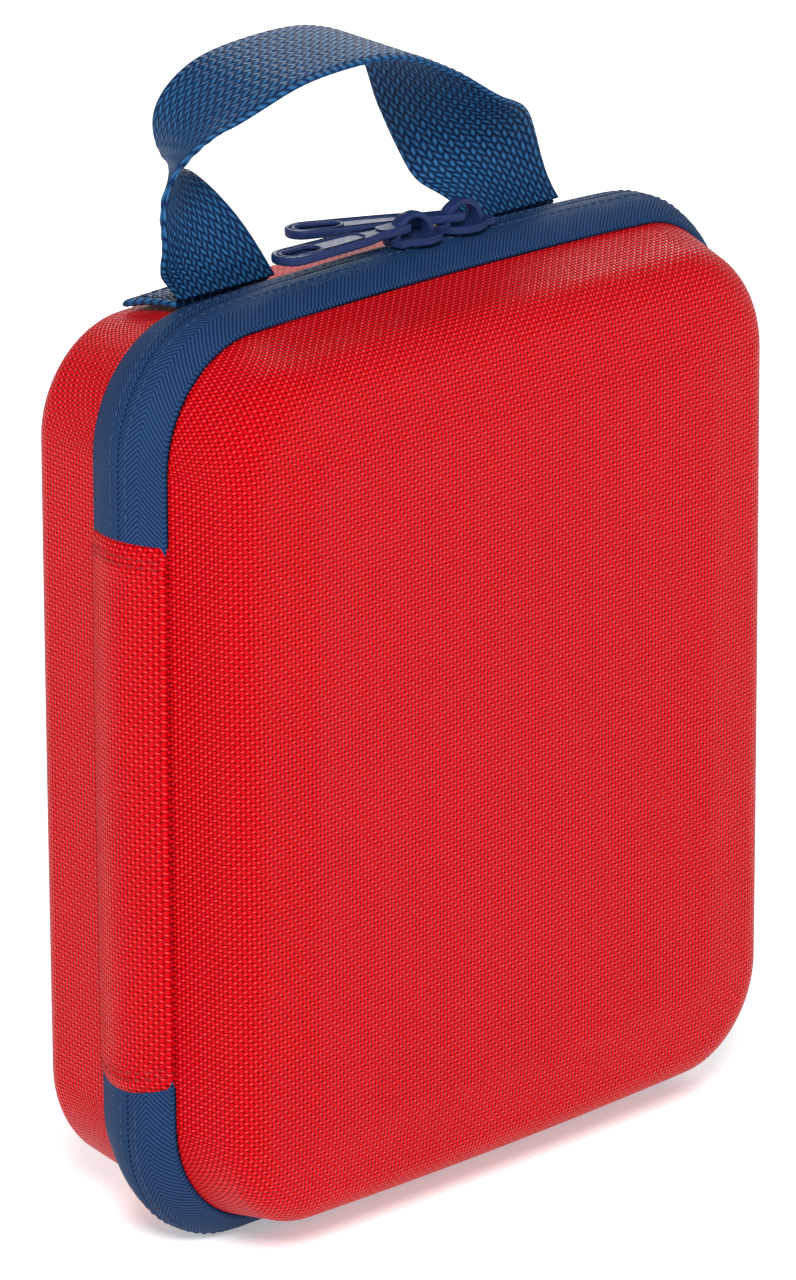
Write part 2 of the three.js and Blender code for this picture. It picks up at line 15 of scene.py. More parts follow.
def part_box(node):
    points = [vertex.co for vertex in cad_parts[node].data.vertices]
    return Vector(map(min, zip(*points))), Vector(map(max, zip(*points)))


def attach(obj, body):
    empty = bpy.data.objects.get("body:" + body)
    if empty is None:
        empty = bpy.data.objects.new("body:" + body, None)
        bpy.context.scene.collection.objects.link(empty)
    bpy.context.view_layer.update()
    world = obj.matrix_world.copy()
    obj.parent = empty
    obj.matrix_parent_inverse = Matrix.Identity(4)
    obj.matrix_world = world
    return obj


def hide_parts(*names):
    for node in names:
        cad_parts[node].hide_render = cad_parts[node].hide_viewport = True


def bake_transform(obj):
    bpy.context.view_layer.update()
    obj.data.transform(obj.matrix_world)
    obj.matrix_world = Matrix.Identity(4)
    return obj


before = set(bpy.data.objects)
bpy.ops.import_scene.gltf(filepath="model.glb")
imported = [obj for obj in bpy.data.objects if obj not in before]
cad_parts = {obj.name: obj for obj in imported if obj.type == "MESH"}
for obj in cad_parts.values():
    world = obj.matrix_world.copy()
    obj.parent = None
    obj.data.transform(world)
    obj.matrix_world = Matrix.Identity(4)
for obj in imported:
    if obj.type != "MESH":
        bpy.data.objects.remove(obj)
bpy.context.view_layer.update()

# ------------------------------------------------------------------ driving dimensions, in millimetres

MM = 0.001
SEAM_Y = -3.05  # where the seam frame's origin stands in the row frame
SEAM_Z = 90.8

HALF_WIDTH = 75
HALF_HEIGHT = 85.3
CORNER_RADIUS = 22
CORNER_EASE = 0.7
END_BOW = 2
SIDE_BOW = 0.3

BAND_FRONT = 8.4
BAND_REAR = 9.8
BAND_CROWN = 3.5
HINGE_TOP = 49.5
HINGE_BOTTOM = -56

FRONT_DEPTH = 18.2
REAR_DEPTH = 22.9
SHELL_WALL = 3.2
LINING = 0.8
RIM_INSET = 0.75
SIDE_INSET = 3
SIDE_DRAFT = radians(15)
ROUND_RADIUS = 8.2
FACE_SLOPE = radians(6.5)
PANEL_INSET = 21.8
PANEL_SHIFT = -1.2
GAP = 0.3

WEBBING_WIDTH = 25
WEBBING_THICKNESS = 1.6
TOP_LINE = HALF_HEIGHT + END_BOW + BAND_CROWN

CORNER_STEPS = 16
END_STEPS = 28
SIDE_STEPS = 30


def to_row(x, y, z):
    return Vector((x, y + SEAM_Y, z + SEAM_Z)) * MM


def band_edge(side):
    """Half width of the tape on the front side (negative) or the rear side of the seam."""
    return BAND_FRONT if side < 0 else BAND_REAR


def lerp(a, b, t):
    return a + (b - a) * t


def smooth(a, b, t):
    t = min(1, max(0, (t - a) / (b - a)))
    return t * t * (3 - 2 * t)


# ------------------------------------------------------------------ node materials


def srgb(red, green, blue):
    """A colour given as 0-255 sRGB, in Blender's linear RGBA."""

    def linear(c):
        c /= 255
        return c / 12.92 if c <= 0.04045 else ((c + 0.055) / 1.055) ** 2.4

    return (linear(red), linear(green), linear(blue), 1)


class Paint:
    """A material's node tree, with short names for the nodes used here."""

    def __init__(self, name, roughness=0.6, metallic=0.0, sheen=0.0, specular=0.5):
        self.material = bpy.data.materials.new(name)
        self.material.use_nodes = True
        self.tree = self.material.node_tree
        self.shader = self.tree.nodes["Principled BSDF"]
        self.shader.inputs["Roughness"].default_value = roughness
        self.shader.inputs["Metallic"].default_value = metallic
        self.shader.inputs["Specular IOR Level"].default_value = specular
        self.shader.inputs["Sheen Weight"].default_value = sheen
        self.shader.inputs["Sheen Roughness"].default_value = 0.4

    def node(self, kind, **values):
        made = self.tree.nodes.new(kind)
        for key, value in values.items():
            setattr(made, key, value)
        return made

    def put(self, socket, value):
        if isinstance(value, bpy.types.NodeSocket):
            self.tree.links.new(value, socket)
        else:
            socket.default_value = value

    def math(self, operation, a, b=0.0, c=0.0):
        made = self.node("ShaderNodeMath", operation=operation)
        for socket, value in zip(made.inputs, (a, b, c)):
            self.put(socket, value)
        return made.outputs[0]

    def times(self, a, b):
        return self.math("MULTIPLY", a, b)

    def plus(self, a, b):
        return self.math("ADD", a, b)

    def minus(self, a, b):
        return self.math("SUBTRACT", a, b)

    def scaled(self, a, factor, offset):
        return self.math("MULTIPLY_ADD", a, factor, offset)

    def wave(self, a, pitch):
        """A sine of the given pitch, from -1 to 1."""
        return self.math("SINE", self.times(a, 2 * pi / (pitch * MM)))

    def hump(self, a):
        """1 where a is 0, falling to 0 at half a cell either way."""
        return self.math("COSINE", self.times(a, pi))

    def uv(self):
        """The surface's own coordinates: metres across and along the cloth."""
        split = self.node("ShaderNodeSeparateXYZ")
        self.put(split.inputs[0], self.node("ShaderNodeUVMap").outputs[0])
        return split.outputs[0], split.outputs[1]

    def noise(self, scale, detail=3.0, coordinates=None):
        made = self.node("ShaderNodeTexNoise")
        made.inputs["Scale"].default_value = scale
        made.inputs["Detail"].default_value = detail
        self.put(made.inputs["Vector"], coordinates or self.node("ShaderNodeTexCoord").outputs["Object"])
        return made.outputs["Fac"]

    def ramp(self, value, stops):
        made = self.node("ShaderNodeValToRGB")
        band = made.color_ramp
        while len(band.elements) < len(stops):
            band.elements.new(0.5)
        for element, (position, shade) in zip(band.elements, stops):
            element.position = position
            element.color = shade
        self.put(made.inputs[0], value)
        return made.outputs[0]

    def mix(self, factor, a, b):
        made = self.node("ShaderNodeMix", data_type="RGBA")
        self.put(made.inputs["Factor"], factor)
        self.put(made.inputs[6], a)
        self.put(made.inputs[7], b)
        return made.outputs[2]

    def bump(self, height, distance, strength=1.0, below=None):
        made = self.node("ShaderNodeBump")
        made.inputs["Strength"].default_value = strength
        made.inputs["Distance"].default_value = distance * MM
        self.put(made.inputs["Height"], height)
        if below is not None:
            self.put(made.inputs["Normal"], below)
        return made.outputs[0]

    def finish(self, colour, normal=None, roughness=None):
        self.put(self.shader.inputs["Base Color"], colour)
        if normal is not None:
            self.put(self.shader.inputs["Normal"], normal)
        if roughness is not None:
            self.put(self.shader.inputs["Roughness"], roughness)
        return self.material


def plain_weave(paint, pitch_u, pitch_v, slant=0.0):
    """Height of a one-over-one weave, and a mask that is 1 where a yarn along U lies on top."""
    u, v = paint.uv()
    across = paint.math("DIVIDE", u, pitch_u * MM)
    along = paint.math("DIVIDE", v, pitch_v * MM)
    cell_u = paint.math("FLOOR", across)
    cell_v = paint.math("FLOOR", along)
    in_u = paint.minus(paint.minus(across, cell_u), 0.5)
    in_v = paint.minus(paint.minus(along, cell_v), 0.5)
    if slant:
        in_v = paint.minus(in_v, paint.times(in_u, slant))
    on_top = paint.math("FLOORED_MODULO", paint.plus(cell_u, cell_v), 2.0)
    round_v = paint.hump(in_v)
    round_u = paint.hump(in_u)
    yarn_u = paint.times(round_v, paint.scaled(round_u, 0.45, 0.55))
    yarn_v = paint.times(round_u, paint.scaled(round_v, 0.55, 0.35))
    difference = paint.minus(yarn_u, yarn_v)
    height = paint.scaled(difference, on_top, yarn_v)
    return height, on_top


def ballistic_nylon(name, shades):
    """Coarse woven nylon: glossy filament floats in a brick pattern, painted shade where the yarns dip,
    painted highlights and glints on the floats.
    """
    dark, body, light, glint = shades
    paint = Paint(name, roughness=0.42, specular=0.1)
    paint.shader.inputs["Specular Tint"].default_value = (1, 0.4, 0.38, 1)
    height, on_top = plain_weave(paint, 0.92, 0.86, slant=0.35)
    # Painted shade: the colour falls to the dark one where the yarns dip.
    base = paint.ramp(height, [(0.12, dark), (0.55, body), (0.95, body)])
    # Painted highlight: the light colour on the crowns of the floats that lie on top.
    crown = paint.times(paint.math("POWER", paint.math("MAXIMUM", height, 0.0), 6.0), on_top)
    lit = paint.mix(paint.times(crown, 0.85), base, light)
    # Painted glint: the glint colour on the very tops of those floats.
    painted_glint = paint.times(paint.math("POWER", paint.math("MAXIMUM", height, 0.0), 22.0), on_top)
    lit = paint.mix(paint.times(painted_glint, 0.45), lit, glint)
    patches = paint.noise(55.0, 2.0)
    worn = paint.mix(paint.times(patches, 0.12), lit, dark)
    waviness = paint.bump(paint.noise(160.0, 2.0), 0.25, 0.35)
    normal = paint.bump(height, 0.36, 1.0, waviness)
    roughness = paint.scaled(height, -0.2, 0.5)
    return paint.finish(worn, normal, roughness)


def herringbone_tape(name, dark, body, light, width):
    """Fine twill tape: ribs that run diagonally and turn back at the middle of each tape, painted shade
    between them, a painted highlight on their crowns.
    """
    paint = Paint(name, roughness=0.6, specular=0.08)
    u, v = paint.uv()
    across = paint.math("PINGPONG", paint.math("ABSOLUTE", v), width / 2 * MM)
    ribs = paint.times(paint.scaled(across, 1.15, u), 2 * pi / (0.95 * MM))
    rib = paint.scaled(paint.math("SINE", ribs), 0.5, 0.5)
    yarns = paint.times(paint.scaled(across, -0.9, u), 2 * pi / (0.48 * MM))
    yarn = paint.scaled(paint.math("SINE", yarns), 0.5, 0.5)
    height = paint.scaled(yarn, 0.35, paint.times(rib, 0.75))
    # Painted shade and highlight: dark between the ribs, light on their crowns.
    colour = paint.ramp(height, [(0.05, dark), (0.5, body), (1.0, light)])
    colour = paint.mix(paint.times(paint.noise(90.0, 3.0), 0.25), colour, dark)
    return paint.finish(colour, paint.bump(height, 0.14, 0.8))


def webbing_cloth(name, dark, body, light):
    """Heavy polypropylene webbing: rows of small slanted bricks along its length, painted shade between
    them, a painted highlight on their crowns.
    """
    paint = Paint(name, roughness=0.5, specular=0.08)
    u, v = paint.uv()
    column = paint.math("DIVIDE", u, 1.15 * MM)
    cell = paint.math("FLOOR", column)
    in_column = paint.minus(paint.minus(column, cell), 0.5)
    turn = paint.scaled(paint.math("FLOORED_MODULO", cell, 2.0), 2.0, -1.0)
    lean = paint.times(paint.times(in_column, turn), 0.55)
    shifted = paint.plus(lean, paint.times(cell, 0.5))
    row = paint.plus(paint.math("DIVIDE", v, 2.2 * MM), shifted)
    in_row = paint.minus(paint.math("FRACT", row), 0.5)
    round_u = paint.hump(in_column)
    round_v = paint.hump(in_row)
    height = paint.times(paint.math("POWER", round_u, 0.6), paint.math("POWER", round_v, 0.6))
    # Painted shade and highlight: dark between the bricks, light on their crowns.
    colour = paint.ramp(height, [(0.1, dark), (0.6, body), (1.0, light)])
    colour = paint.mix(paint.times(paint.noise(120.0, 2.0), 0.25), colour, dark)
    return paint.finish(colour, paint.bump(height, 0.32, 0.9))


def plain_cloth(name, dark, light, pitch, depth=0.1, roughness=0.85, sheen=0.05):
    """A fine one-over-one cloth, such as lining, binding or gauze, with painted shade in the dips of the
    weave and a painted highlight on its crowns.
    """
    paint = Paint(name, roughness=roughness, sheen=sheen, specular=0.3)
    height = plain_weave(paint, pitch, pitch)[0]
    # Painted shade and highlight: dark in the dips of the weave, light on its crowns.
    colour = paint.ramp(height, [(0.05, dark), (0.9, light)])
    colour = paint.mix(paint.times(paint.noise(70.0, 3.0), 0.2), colour, dark)
    return paint.finish(colour, paint.bump(height, depth, 0.8))


def ribbed_cloth(name, dark, light, pitch, depth=0.2, roughness=0.8):
    """Grosgrain or woven elastic: ribs across the tape, with painted shade between the ribs and a painted
    highlight on their crowns.
    """
    paint = Paint(name, roughness=roughness, sheen=0.2, specular=0.3)
    u, v = paint.uv()
    rib = paint.wave(v, pitch)
    warp = paint.wave(u, 0.7)
    height = paint.scaled(rib, 0.38, paint.scaled(warp, 0.12, 0.5))
    # Painted shade and highlight: dark between the ribs, light on their crowns.
    colour = paint.ramp(height, [(0.05, dark), (0.95, light)])
    return paint.finish(colour, paint.bump(height, depth, 0.8))


def enamel(name, colour, chip):
    """Dipped enamel on die-cast metal: glossy, with orange peel and small paler specks scattered at
    random.
    """
    paint = Paint(name, roughness=0.45, specular=0.1)
    peel = paint.noise(900.0, 2.0)
    specks = paint.noise(2600.0, 1.0)
    worn = paint.math("GREATER_THAN", specks, 0.74)
    shade = paint.mix(paint.times(worn, 0.35), colour, chip)
    rough = paint.scaled(peel, 0.2, 0.36)
    return paint.finish(shade, paint.bump(peel, 0.06, 0.5), rough)


def brushed_steel(name):
    paint = Paint(name, roughness=0.3, metallic=1.0)
    stretch = paint.node("ShaderNodeMapping")
    stretch.inputs["Scale"].default_value = (40, 900, 900)
    paint.put(stretch.inputs[0], paint.node("ShaderNodeTexCoord").outputs["Object"])
    grain = paint.noise(1.0, 4.0, stretch.outputs[0])
    colour = paint.ramp(grain, [(0.3, srgb(150, 153, 158)), (0.7, srgb(205, 208, 212))])
    rough = paint.scaled(grain, 0.25, 0.2)
    return paint.finish(colour, paint.bump(grain, 0.02, 0.5), rough)


def wrapper(name, base, print_colour, roughness, metallic=0.0, rows=0.0):
    """A sealed wrapper: creased film or paper, with plain printed bands and crimped ends."""
    paint = Paint(name, roughness=roughness, metallic=metallic, specular=0.5)
    v = paint.uv()[1]
    creases = paint.noise(130.0, 4.0)
    colour = base
    if rows:
        band = paint.math("PINGPONG", v, rows * MM)
        inside = paint.math("GREATER_THAN", band, rows * 0.86 * MM)
        colour = paint.mix(inside, base, print_colour)
    shade = tuple(c * 0.6 for c in base[:3]) + (1,)
    colour = paint.mix(paint.times(creases, 0.18), colour, shade)
    fine = paint.bump(paint.noise(900.0, 2.0), 0.05, 0.3)
    return paint.finish(colour, paint.bump(creases, 0.9, 0.5, fine))


# The first colour is painted shade in the weave's dips and also sets random darker patches; the third is
# a painted highlight and the fourth a painted glint on the floats.
RED = ballistic_nylon(
    "red_nylon", (srgb(118, 0, 8), srgb(216, 4, 17), srgb(246, 40, 50), srgb(255, 150, 150))
)
# For TAPE and the cloths down to NET, the first colour is painted shade in the dips of the weave (and in
# most also sets random darker patches), the last a painted highlight on its crowns.
TAPE = herringbone_tape("zip_tape", srgb(9, 22, 50), srgb(21, 49, 86), srgb(38, 74, 118), BAND_FRONT)
WEBBING = webbing_cloth("blue_webbing", srgb(6, 22, 52), srgb(20, 60, 102), srgb(46, 104, 152))
LINING_CLOTH = plain_cloth("lining_fabric", srgb(30, 32, 37), srgb(66, 69, 76), 0.7)
BINDING = ribbed_cloth("binding_tape", srgb(18, 19, 23), srgb(46, 49, 56), 0.9)
ELASTIC = ribbed_cloth("elastic", srgb(14, 15, 18), srgb(44, 46, 52), 1.3, 0.3)
GAUZE = plain_cloth("gauze", srgb(196, 188, 170), srgb(243, 238, 226), 0.95, 0.25, 0.95)
THREAD = plain_cloth("sewing_thread", srgb(110, 0, 8), srgb(205, 14, 26), 0.3, 0.05, 0.6)
TAPE_THREAD = plain_cloth("zip_thread", srgb(20, 42, 76), srgb(52, 86, 128), 0.3, 0.05, 0.6)
NET = plain_cloth("net", srgb(12, 13, 15), srgb(40, 42, 46), 0.25, 0.05, 0.7)
NAVY = enamel("navy_enamel", srgb(30, 44, 84), srgb(92, 104, 140))
COIL = enamel("zip_coil", srgb(24, 42, 84), srgb(60, 84, 128))
STEEL = brushed_steel("steel")
PAPER = wrapper("wrapper_paper", srgb(232, 231, 226), srgb(62, 104, 150), 0.6, rows=16)
BLUE_FILM = wrapper("blue_film", srgb(52, 108, 178), srgb(225, 232, 240), 0.28, rows=20)
GREEN_FILM = wrapper("green_film", srgb(92, 160, 128), srgb(230, 240, 234), 0.3, rows=14)
SILVER_FILM = wrapper("silver_film", srgb(205, 208, 212), srgb(205, 208, 212), 0.22, metallic=0.85)

# ------------------------------------------------------------------ mesh helpers


def placed(name, data):
    """An object in the scene that shows the given data."""
    piece = bpy.data.objects.new(name, data)
    bpy.context.scene.collection.objects.link(piece)
    return piece


def add_object(name, data, material, body=None, replaces=()):
    piece = placed(name, data)
    if material is not None:
        data.materials.append(material)
    if replaces:
        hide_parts(*replaces)
    if body:
        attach(piece, body)
    return piece


def grid_mesh(name, rows, uvs, wrap=False, close=False, caps=False):
    """A smooth mesh over rows of points; uvs has one more column (wrap) and row (close) than rows."""
    count = len(rows[0])
    points = [p for row in rows for p in row]
    faces = []
    corners = []
    for i in range(len(rows) if close else len(rows) - 1):
        for j in range(count if wrap else count - 1):
            after_i = (i + 1) % len(rows)
            after_j = (j + 1) % count
            here, there = i * count, after_i * count
            faces.append((here + j, here + after_j, there + after_j, there + j))
            corners += [uvs[i][j], uvs[i][j + 1], uvs[i + 1][j + 1], uvs[i + 1][j]]
    if caps:
        faces.append(tuple(range(count))[::-1])
        corners += [uvs[0][j] for j in range(count)][::-1]
        last = (len(rows) - 1) * count
        faces.append(tuple(last + j for j in range(count)))
        corners += [uvs[len(rows) - 1][j] for j in range(count)]
    data = bpy.data.meshes.new(name)
    data.from_pydata([tuple(p) for p in points], [], faces)
    layer = data.uv_layers.new(name="UVMap")
    for loop, uv in zip(layer.data, corners):
        loop.uv = uv
    data.polygons.foreach_set("use_smooth", [True] * len(data.polygons))
    outward(data)
    return data


def finished(name, work, smooth_faces=False):
    """A mesh from a bmesh, which is freed; without UVs of its own it gets an empty layer."""
    data = bpy.data.meshes.new(name)
    work.to_mesh(data)
    work.free()
    if not data.uv_layers:
        data.uv_layers.new(name="UVMap")
    if smooth_faces:
        data.polygons.foreach_set("use_smooth", [True] * len(data.polygons))
    return data


def outward(data):
    work = bmesh.new()
    work.from_mesh(data)
    bmesh.ops.recalc_face_normals(work, faces=work.faces)
    work.to_mesh(data)
    work.free()
    data.update()


def strip_uvs(rows, wrap=False, close=False):
    """UVs in metres for rows of points: U along each row, V from row to row at its first point."""
    full = [list(row) + ([row[0]] if wrap else []) for row in rows]
    if close:
        full.append(full[0])
    uvs = []
    v = 0.0
    for i, row in enumerate(full):
        if i:
            v += (row[0] - full[i - 1][0]).length
        u = 0.0
        line = []
        for j, point in enumerate(row):
            if j:
                u += (point - row[j - 1]).length
            line.append((u, v))
        uvs.append(line)
    return uvs


# ------------------------------------------------------------------ outline of the case


def bowed(x, z, inset):
    near_end = min(1, abs(z) / HALF_HEIGHT) ** 4
    near_side = min(1, abs(x) / HALF_WIDTH) ** 4
    across = min(1, (x / HALF_WIDTH) ** 2)
    along = min(1, (z / HALF_HEIGHT) ** 2)
    straightened = max(0, -inset / BAND_CROWN) if z < 0 else 0
    return (
        x + copysign(SIDE_BOW * near_side * (1 - along), x),
        z + copysign(END_BOW * near_end * (1 - across * (1 - straightened)), z),
    )


def outline(inset, shift=0.0):
    """The rounded outline at one inset, from the foot of the hinge: ((x, z), outward direction)."""
    w = HALF_WIDTH - inset
    h = HALF_HEIGHT - inset
    r = CORNER_RADIUS - CORNER_EASE * inset
    points = []

    def add(x, z, out):
        bx, bz = bowed(x, z, inset)
        points.append(((bx + shift, bz + shift), out))

    def line(x0, z0, x1, z1, steps, out):
        for i in range(steps):
            add(lerp(x0, x1, i / steps), lerp(z0, z1, i / steps), out)

    def corner(cx, cz, start):
        for i in range(CORNER_STEPS):
            angle = start + pi / 2 * i / CORNER_STEPS
            out = (cos(angle), sin(angle))
            add(cx + r * out[0], cz + r * out[1], out)

    line(-w, HINGE_BOTTOM, -w, r - h, 3, (-1, 0))
    corner(r - w, r - h, pi)
    line(r - w, -h, w - r, -h, END_STEPS, (0, -1))
    corner(w - r, r - h, -pi / 2)
    line(w, r - h, w, h - r, SIDE_STEPS, (1, 0))
    corner(w - r, h - r, 0)
    line(w - r, h, r - w, h, END_STEPS, (0, 1))
    corner(r - w, h - r, pi / 2)
    line(-w, h - r, -w, HINGE_TOP, 5, (-1, 0))
    line(-w, HINGE_TOP, -w, HINGE_BOTTOM, SIDE_STEPS, (-1, 0))
    return points


ZIPPED_POINTS = 3 + 4 * CORNER_STEPS + 2 * END_STEPS + SIDE_STEPS + 5 + 1


# ------------------------------------------------------------------ shells and linings


def shell_profile(depth, offset):
    """(inset, depth) from the rim over the rounded edge and the gentle slope to the flat panel."""
    radius = ROUND_RADIUS - offset
    centre = SIDE_INSET + ROUND_RADIUS * cos(SIDE_DRAFT)
    face_start = centre - ROUND_RADIUS * sin(FACE_SLOPE)
    face_depth = depth - (PANEL_INSET - face_start) * tan(FACE_SLOPE)
    centre_depth = face_depth - ROUND_RADIUS * cos(FACE_SLOPE)
    first = (centre - radius * cos(SIDE_DRAFT), centre_depth + radius * sin(SIDE_DRAFT))
    rim = RIM_INSET + offset
    profile = [(lerp(rim, first[0], t), first[1] * t) for t in (0, 0.05, 0.2, 0.4, 0.6, 0.8)]
    steps = 12
    for i in range(steps + 1):
        angle = lerp(SIDE_DRAFT, pi / 2 - FACE_SLOPE, i / steps)
        profile.append((centre - radius * cos(angle), centre_depth + radius * sin(angle)))
    start = profile[-1]
    crease = 1.1
    for t in (0.3, 0.6):
        inset = lerp(start[0], PANEL_INSET - crease, t)
        profile.append((inset, depth - offset - (PANEL_INSET - inset) * tan(FACE_SLOPE)))
    for i in range(5):
        along = lerp(-crease, crease, i / 4)
        rise = (crease - along) ** 2 / (4 * crease) * tan(FACE_SLOPE)
        profile.append((PANEL_INSET + along, depth - offset - rise))
    return profile


def shell_rows(side, depth, offset, shift):
    """Rows of points and cloth coordinates over one surface of a moulded half, panel included."""
    edge = band_edge(side)
    profile = shell_profile(depth, offset)
    rows = []
    uvs = []
    arcs = [0.0]
    for (i0, d0), (i1, d1) in zip(profile[::-1], profile[-2::-1]):
        arcs.append(arcs[-1] + hypot(i1 - i0, d1 - d0))
    arcs = arcs[::-1]
    base = outline(profile[-1][0], shift)
    for (inset, at), arc in zip(profile, arcs):
        ring = outline(inset, shift * max(0, at) / depth)
        rows.append([to_row(x, side * (edge + GAP + at), z) for (x, z), out in ring])
        extra = arc - (profile[-1][0] - inset)
        line = []
        for (x, z), out in ring + ring[:1]:
            drawn = extra * (1 - 0.25 * abs(2 * out[0] * out[1]))
            line.append(((x + out[0] * drawn) * MM, (z + out[1] * drawn) * MM))
        uvs.append(line)
    panel_y = side * (edge + GAP + depth - offset)
    for share in (0.84, 0.66, 0.46, 0.25, 0.06):
        rows.append([to_row(x * share, panel_y, z * share) for (x, z), out in base])
        uvs.append([(x * share * MM, z * share * MM) for (x, z), out in base + base[:1]])
    return rows, uvs


def moulded_half(node, ending, side, outer, inner, material):
    """A closed moulded half: outer surface, rounded rim, inner surface and both panels."""
    body = "rear_case" if side > 0 else "front_case"
    depth = REAR_DEPTH if side > 0 else FRONT_DEPTH
    shift = 0 if side > 0 else PANEL_SHIFT
    out_rows, out_uvs = shell_rows(side, depth, outer, shift)
    in_rows, in_uvs = shell_rows(side, depth, inner, shift)
    rows = in_rows[::-1] + out_rows
    uvs = in_uvs[::-1] + out_uvs
    data = grid_mesh(node + ending, rows, uvs, wrap=True, caps=True)
    add_object(node + ending, data, material, body, [node])


def ring_band(name, section, material, body, node):
    """A closed band that follows the whole outline, from (inset, y) points."""
    rings = [[to_row(x, y, z) for (x, z), out in outline(inset)] for inset, y in section]
    data = grid_mesh(name, rings, strip_uvs(rings, wrap=True, close=True), wrap=True, close=True)
    return add_object(name, data, material, body, [node])


def seam_binding(name, side, body):
    """Grosgrain that covers the raw seam of shell and tape, curved over its inner edge."""
    edge = band_edge(side)
    outside = RIM_INSET + SHELL_WALL + LINING + 2 * GAP
    section = [
        (outside, side * (edge - 2.4)),
        (outside + 0.1, side * (edge + 1)),
        (outside + 1.1, side * (edge + 4.9)),
        (outside + 1.6, side * (edge + 5)),
        (outside + 1.9, side * (edge + 4.6)),
        (outside + 1.2, side * (edge + 1)),
        (outside + 0.9, side * (edge - 1.6)),
        (outside + 0.6, side * (edge - 2.5)),
    ]
    return ring_band(name + "_tape", section, BINDING, body, name)


# ------------------------------------------------------------------ zip


def crown(y, edge):
    return BAND_CROWN * (1 - (y / edge) ** 2)


def follow(section, first, count):
    """Points of a closed section of (outward, y), carried along part of the outline."""
    rings = [outline(-lift) for lift, y in section]
    rows = []
    for i in range(count):
        at = (first + i) % len(rings[0])
        row = []
        for ring, (lift, y) in zip(rings, section):
            x, z = ring[at][0]
            row.append(to_row(x, y, z))
        rows.append(row)
    return rows


def band_uvs(rows, section):
    """U along the band, V the distance from the seam."""
    uvs = []
    u = 0.0
    for i, row in enumerate(rows):
        if i:
            u += (row[0] - rows[i - 1][0]).length
        uvs.append([(u, y * MM) for lift, y in section] + [(u, section[0][1] * MM)])
    return uvs


def crowned_section(side, near, far, edge, thickness, lift=0.0, steps=9):
    outer = []
    for i in range(steps + 1):
        y = lerp(far, near, i / steps)
        outer.append((crown(min(y, edge), edge) + lift, side * y))
    first, last = outer[0], outer[-1]
    half = thickness / 2
    round_last = [(last[0] - half * 0.35, last[1] - side * 0.12), (last[0] - thickness, last[1])]
    inner = [(out - thickness, y) for out, y in outer[1:-1]][::-1]
    return outer + round_last + inner + [(first[0] - thickness, first[1])]


def zip_tape(name, side, body):
    edge = band_edge(side)
    section = crowned_section(side, 0.22, edge + 0.25, edge, 0.9)
    rows = follow(section, -2, ZIPPED_POINTS + 4)
    data = grid_mesh(name + "_cloth", rows, band_uvs(rows, section), wrap=True, caps=True)
    return add_object(name + "_cloth", data, TAPE, body, [name])


def stitches(name, spots, length, radius, material, body=None):
    """Small stitches, each a rounded capsule at (point, direction, up), joined in one mesh."""
    work = bmesh.new()
    for point, direction, up in spots:
        side = direction.cross(up).normalized()
        rings = []
        for t, wide in ((-0.5, 0.35), (-0.36, 0.9), (0, 1.1), (0.36, 0.9), (0.5, 0.35)):
            centre = point + direction * (t * length * MM) + up * (0.35 * radius * MM * (1 - 4 * t * t))
            ring = []
            for k in range(6):
                angle = k * pi / 3
                offset = side * cos(angle) + up * sin(angle) * 0.8
                ring.append(work.verts.new(centre + offset * (wide * radius * MM)))
            rings.append(ring)
        for a, b in zip(rings, rings[1:]):
            for k in range(6):
                work.faces.new((a[k], a[(k + 1) % 6], b[(k + 1) % 6], b[k]))
        work.faces.new(rings[0][::-1])
        work.faces.new(rings[-1])
    bmesh.ops.recalc_face_normals(work, faces=work.faces)
    return add_object(name, finished(name, work, True), material, body)


def along_band(lift, y, first, count, spacing):
    """Evenly spaced spots along the band: (point, direction, outward)."""
    ring = outline(-lift)
    path = []
    for i in range(count):
        x, z = ring[(first + i) % len(ring)][0]
        path.append(to_row(x, y, z))
    spots = []
    travelled = spacing / 2 * MM
    so_far = 0.0
    for i, (a, b) in enumerate(zip(path, path[1:])):
        span = (b - a).length
        out = ring[(first + i) % len(ring)][1]
        while travelled <= so_far + span:
            t = (travelled - so_far) / span
            spots.append((a.lerp(b, t), (b - a).normalized(), Vector((out[0], 0, out[1]))))
            travelled += spacing * MM
        so_far += span
    return spots


def tape_stitching(name, side, y, body):
    edge = band_edge(side)
    spots = along_band(crown(y, edge), side * y, 1, ZIPPED_POINTS - 2, 2.3)
    return stitches(name, spots, 1.5, 0.16, TAPE_THREAD, body)


def zip_coil(name, side, body):
    """Interlocking coil on the inside of the tape, one turn of monofilament after another."""
    top = BAND_CROWN * (1 - (2.6 / BAND_FRONT) ** 2) - 1.3
    turns = along_band(top - 0.7, side * 1.65, 0, ZIPPED_POINTS, 1.4)
    work = bmesh.new()
    for point, direction, out in turns:
        across = Vector((0, side, 0))
        ring = []
        for k in range(8):
            angle = k * pi / 4
            centre = point + across * (cos(angle) * 0.72 * MM) + out * (sin(angle) * 0.45 * MM)
            radial = across * cos(angle) + out * sin(angle)
            lean = direction * (cos(angle) * 0.18 * MM)
            quad = []
            for a, b in ((-1, -1), (1, -1), (1, 1), (-1, 1)):
                corner = radial * (a * 0.2 * MM) + direction * (b * 0.38 * MM)
                quad.append(work.verts.new(centre + lean + corner))
            ring.append(quad)
        for k in range(8):
            a, b = ring[k], ring[(k + 1) % 8]
            for m in range(4):
                work.faces.new((a[m], a[(m + 1) % 4], b[(m + 1) % 4], b[m]))
    bmesh.ops.recalc_face_normals(work, faces=work.faces)
    return add_object(name + "_turns", finished(name, work), COIL, body, [name])


def hem_rise(s, at_top):
    """How far the panel's hemmed end bows out at a share s of its width."""
    bow = 1 - (2 * s - 1) ** 2
    return 0.5 * bow if at_top else 1.2 * (1 - s) - 1.4 * bow


def over_hinge(piece):
    """Bakes the piece's placement into its mesh."""
    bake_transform(piece)


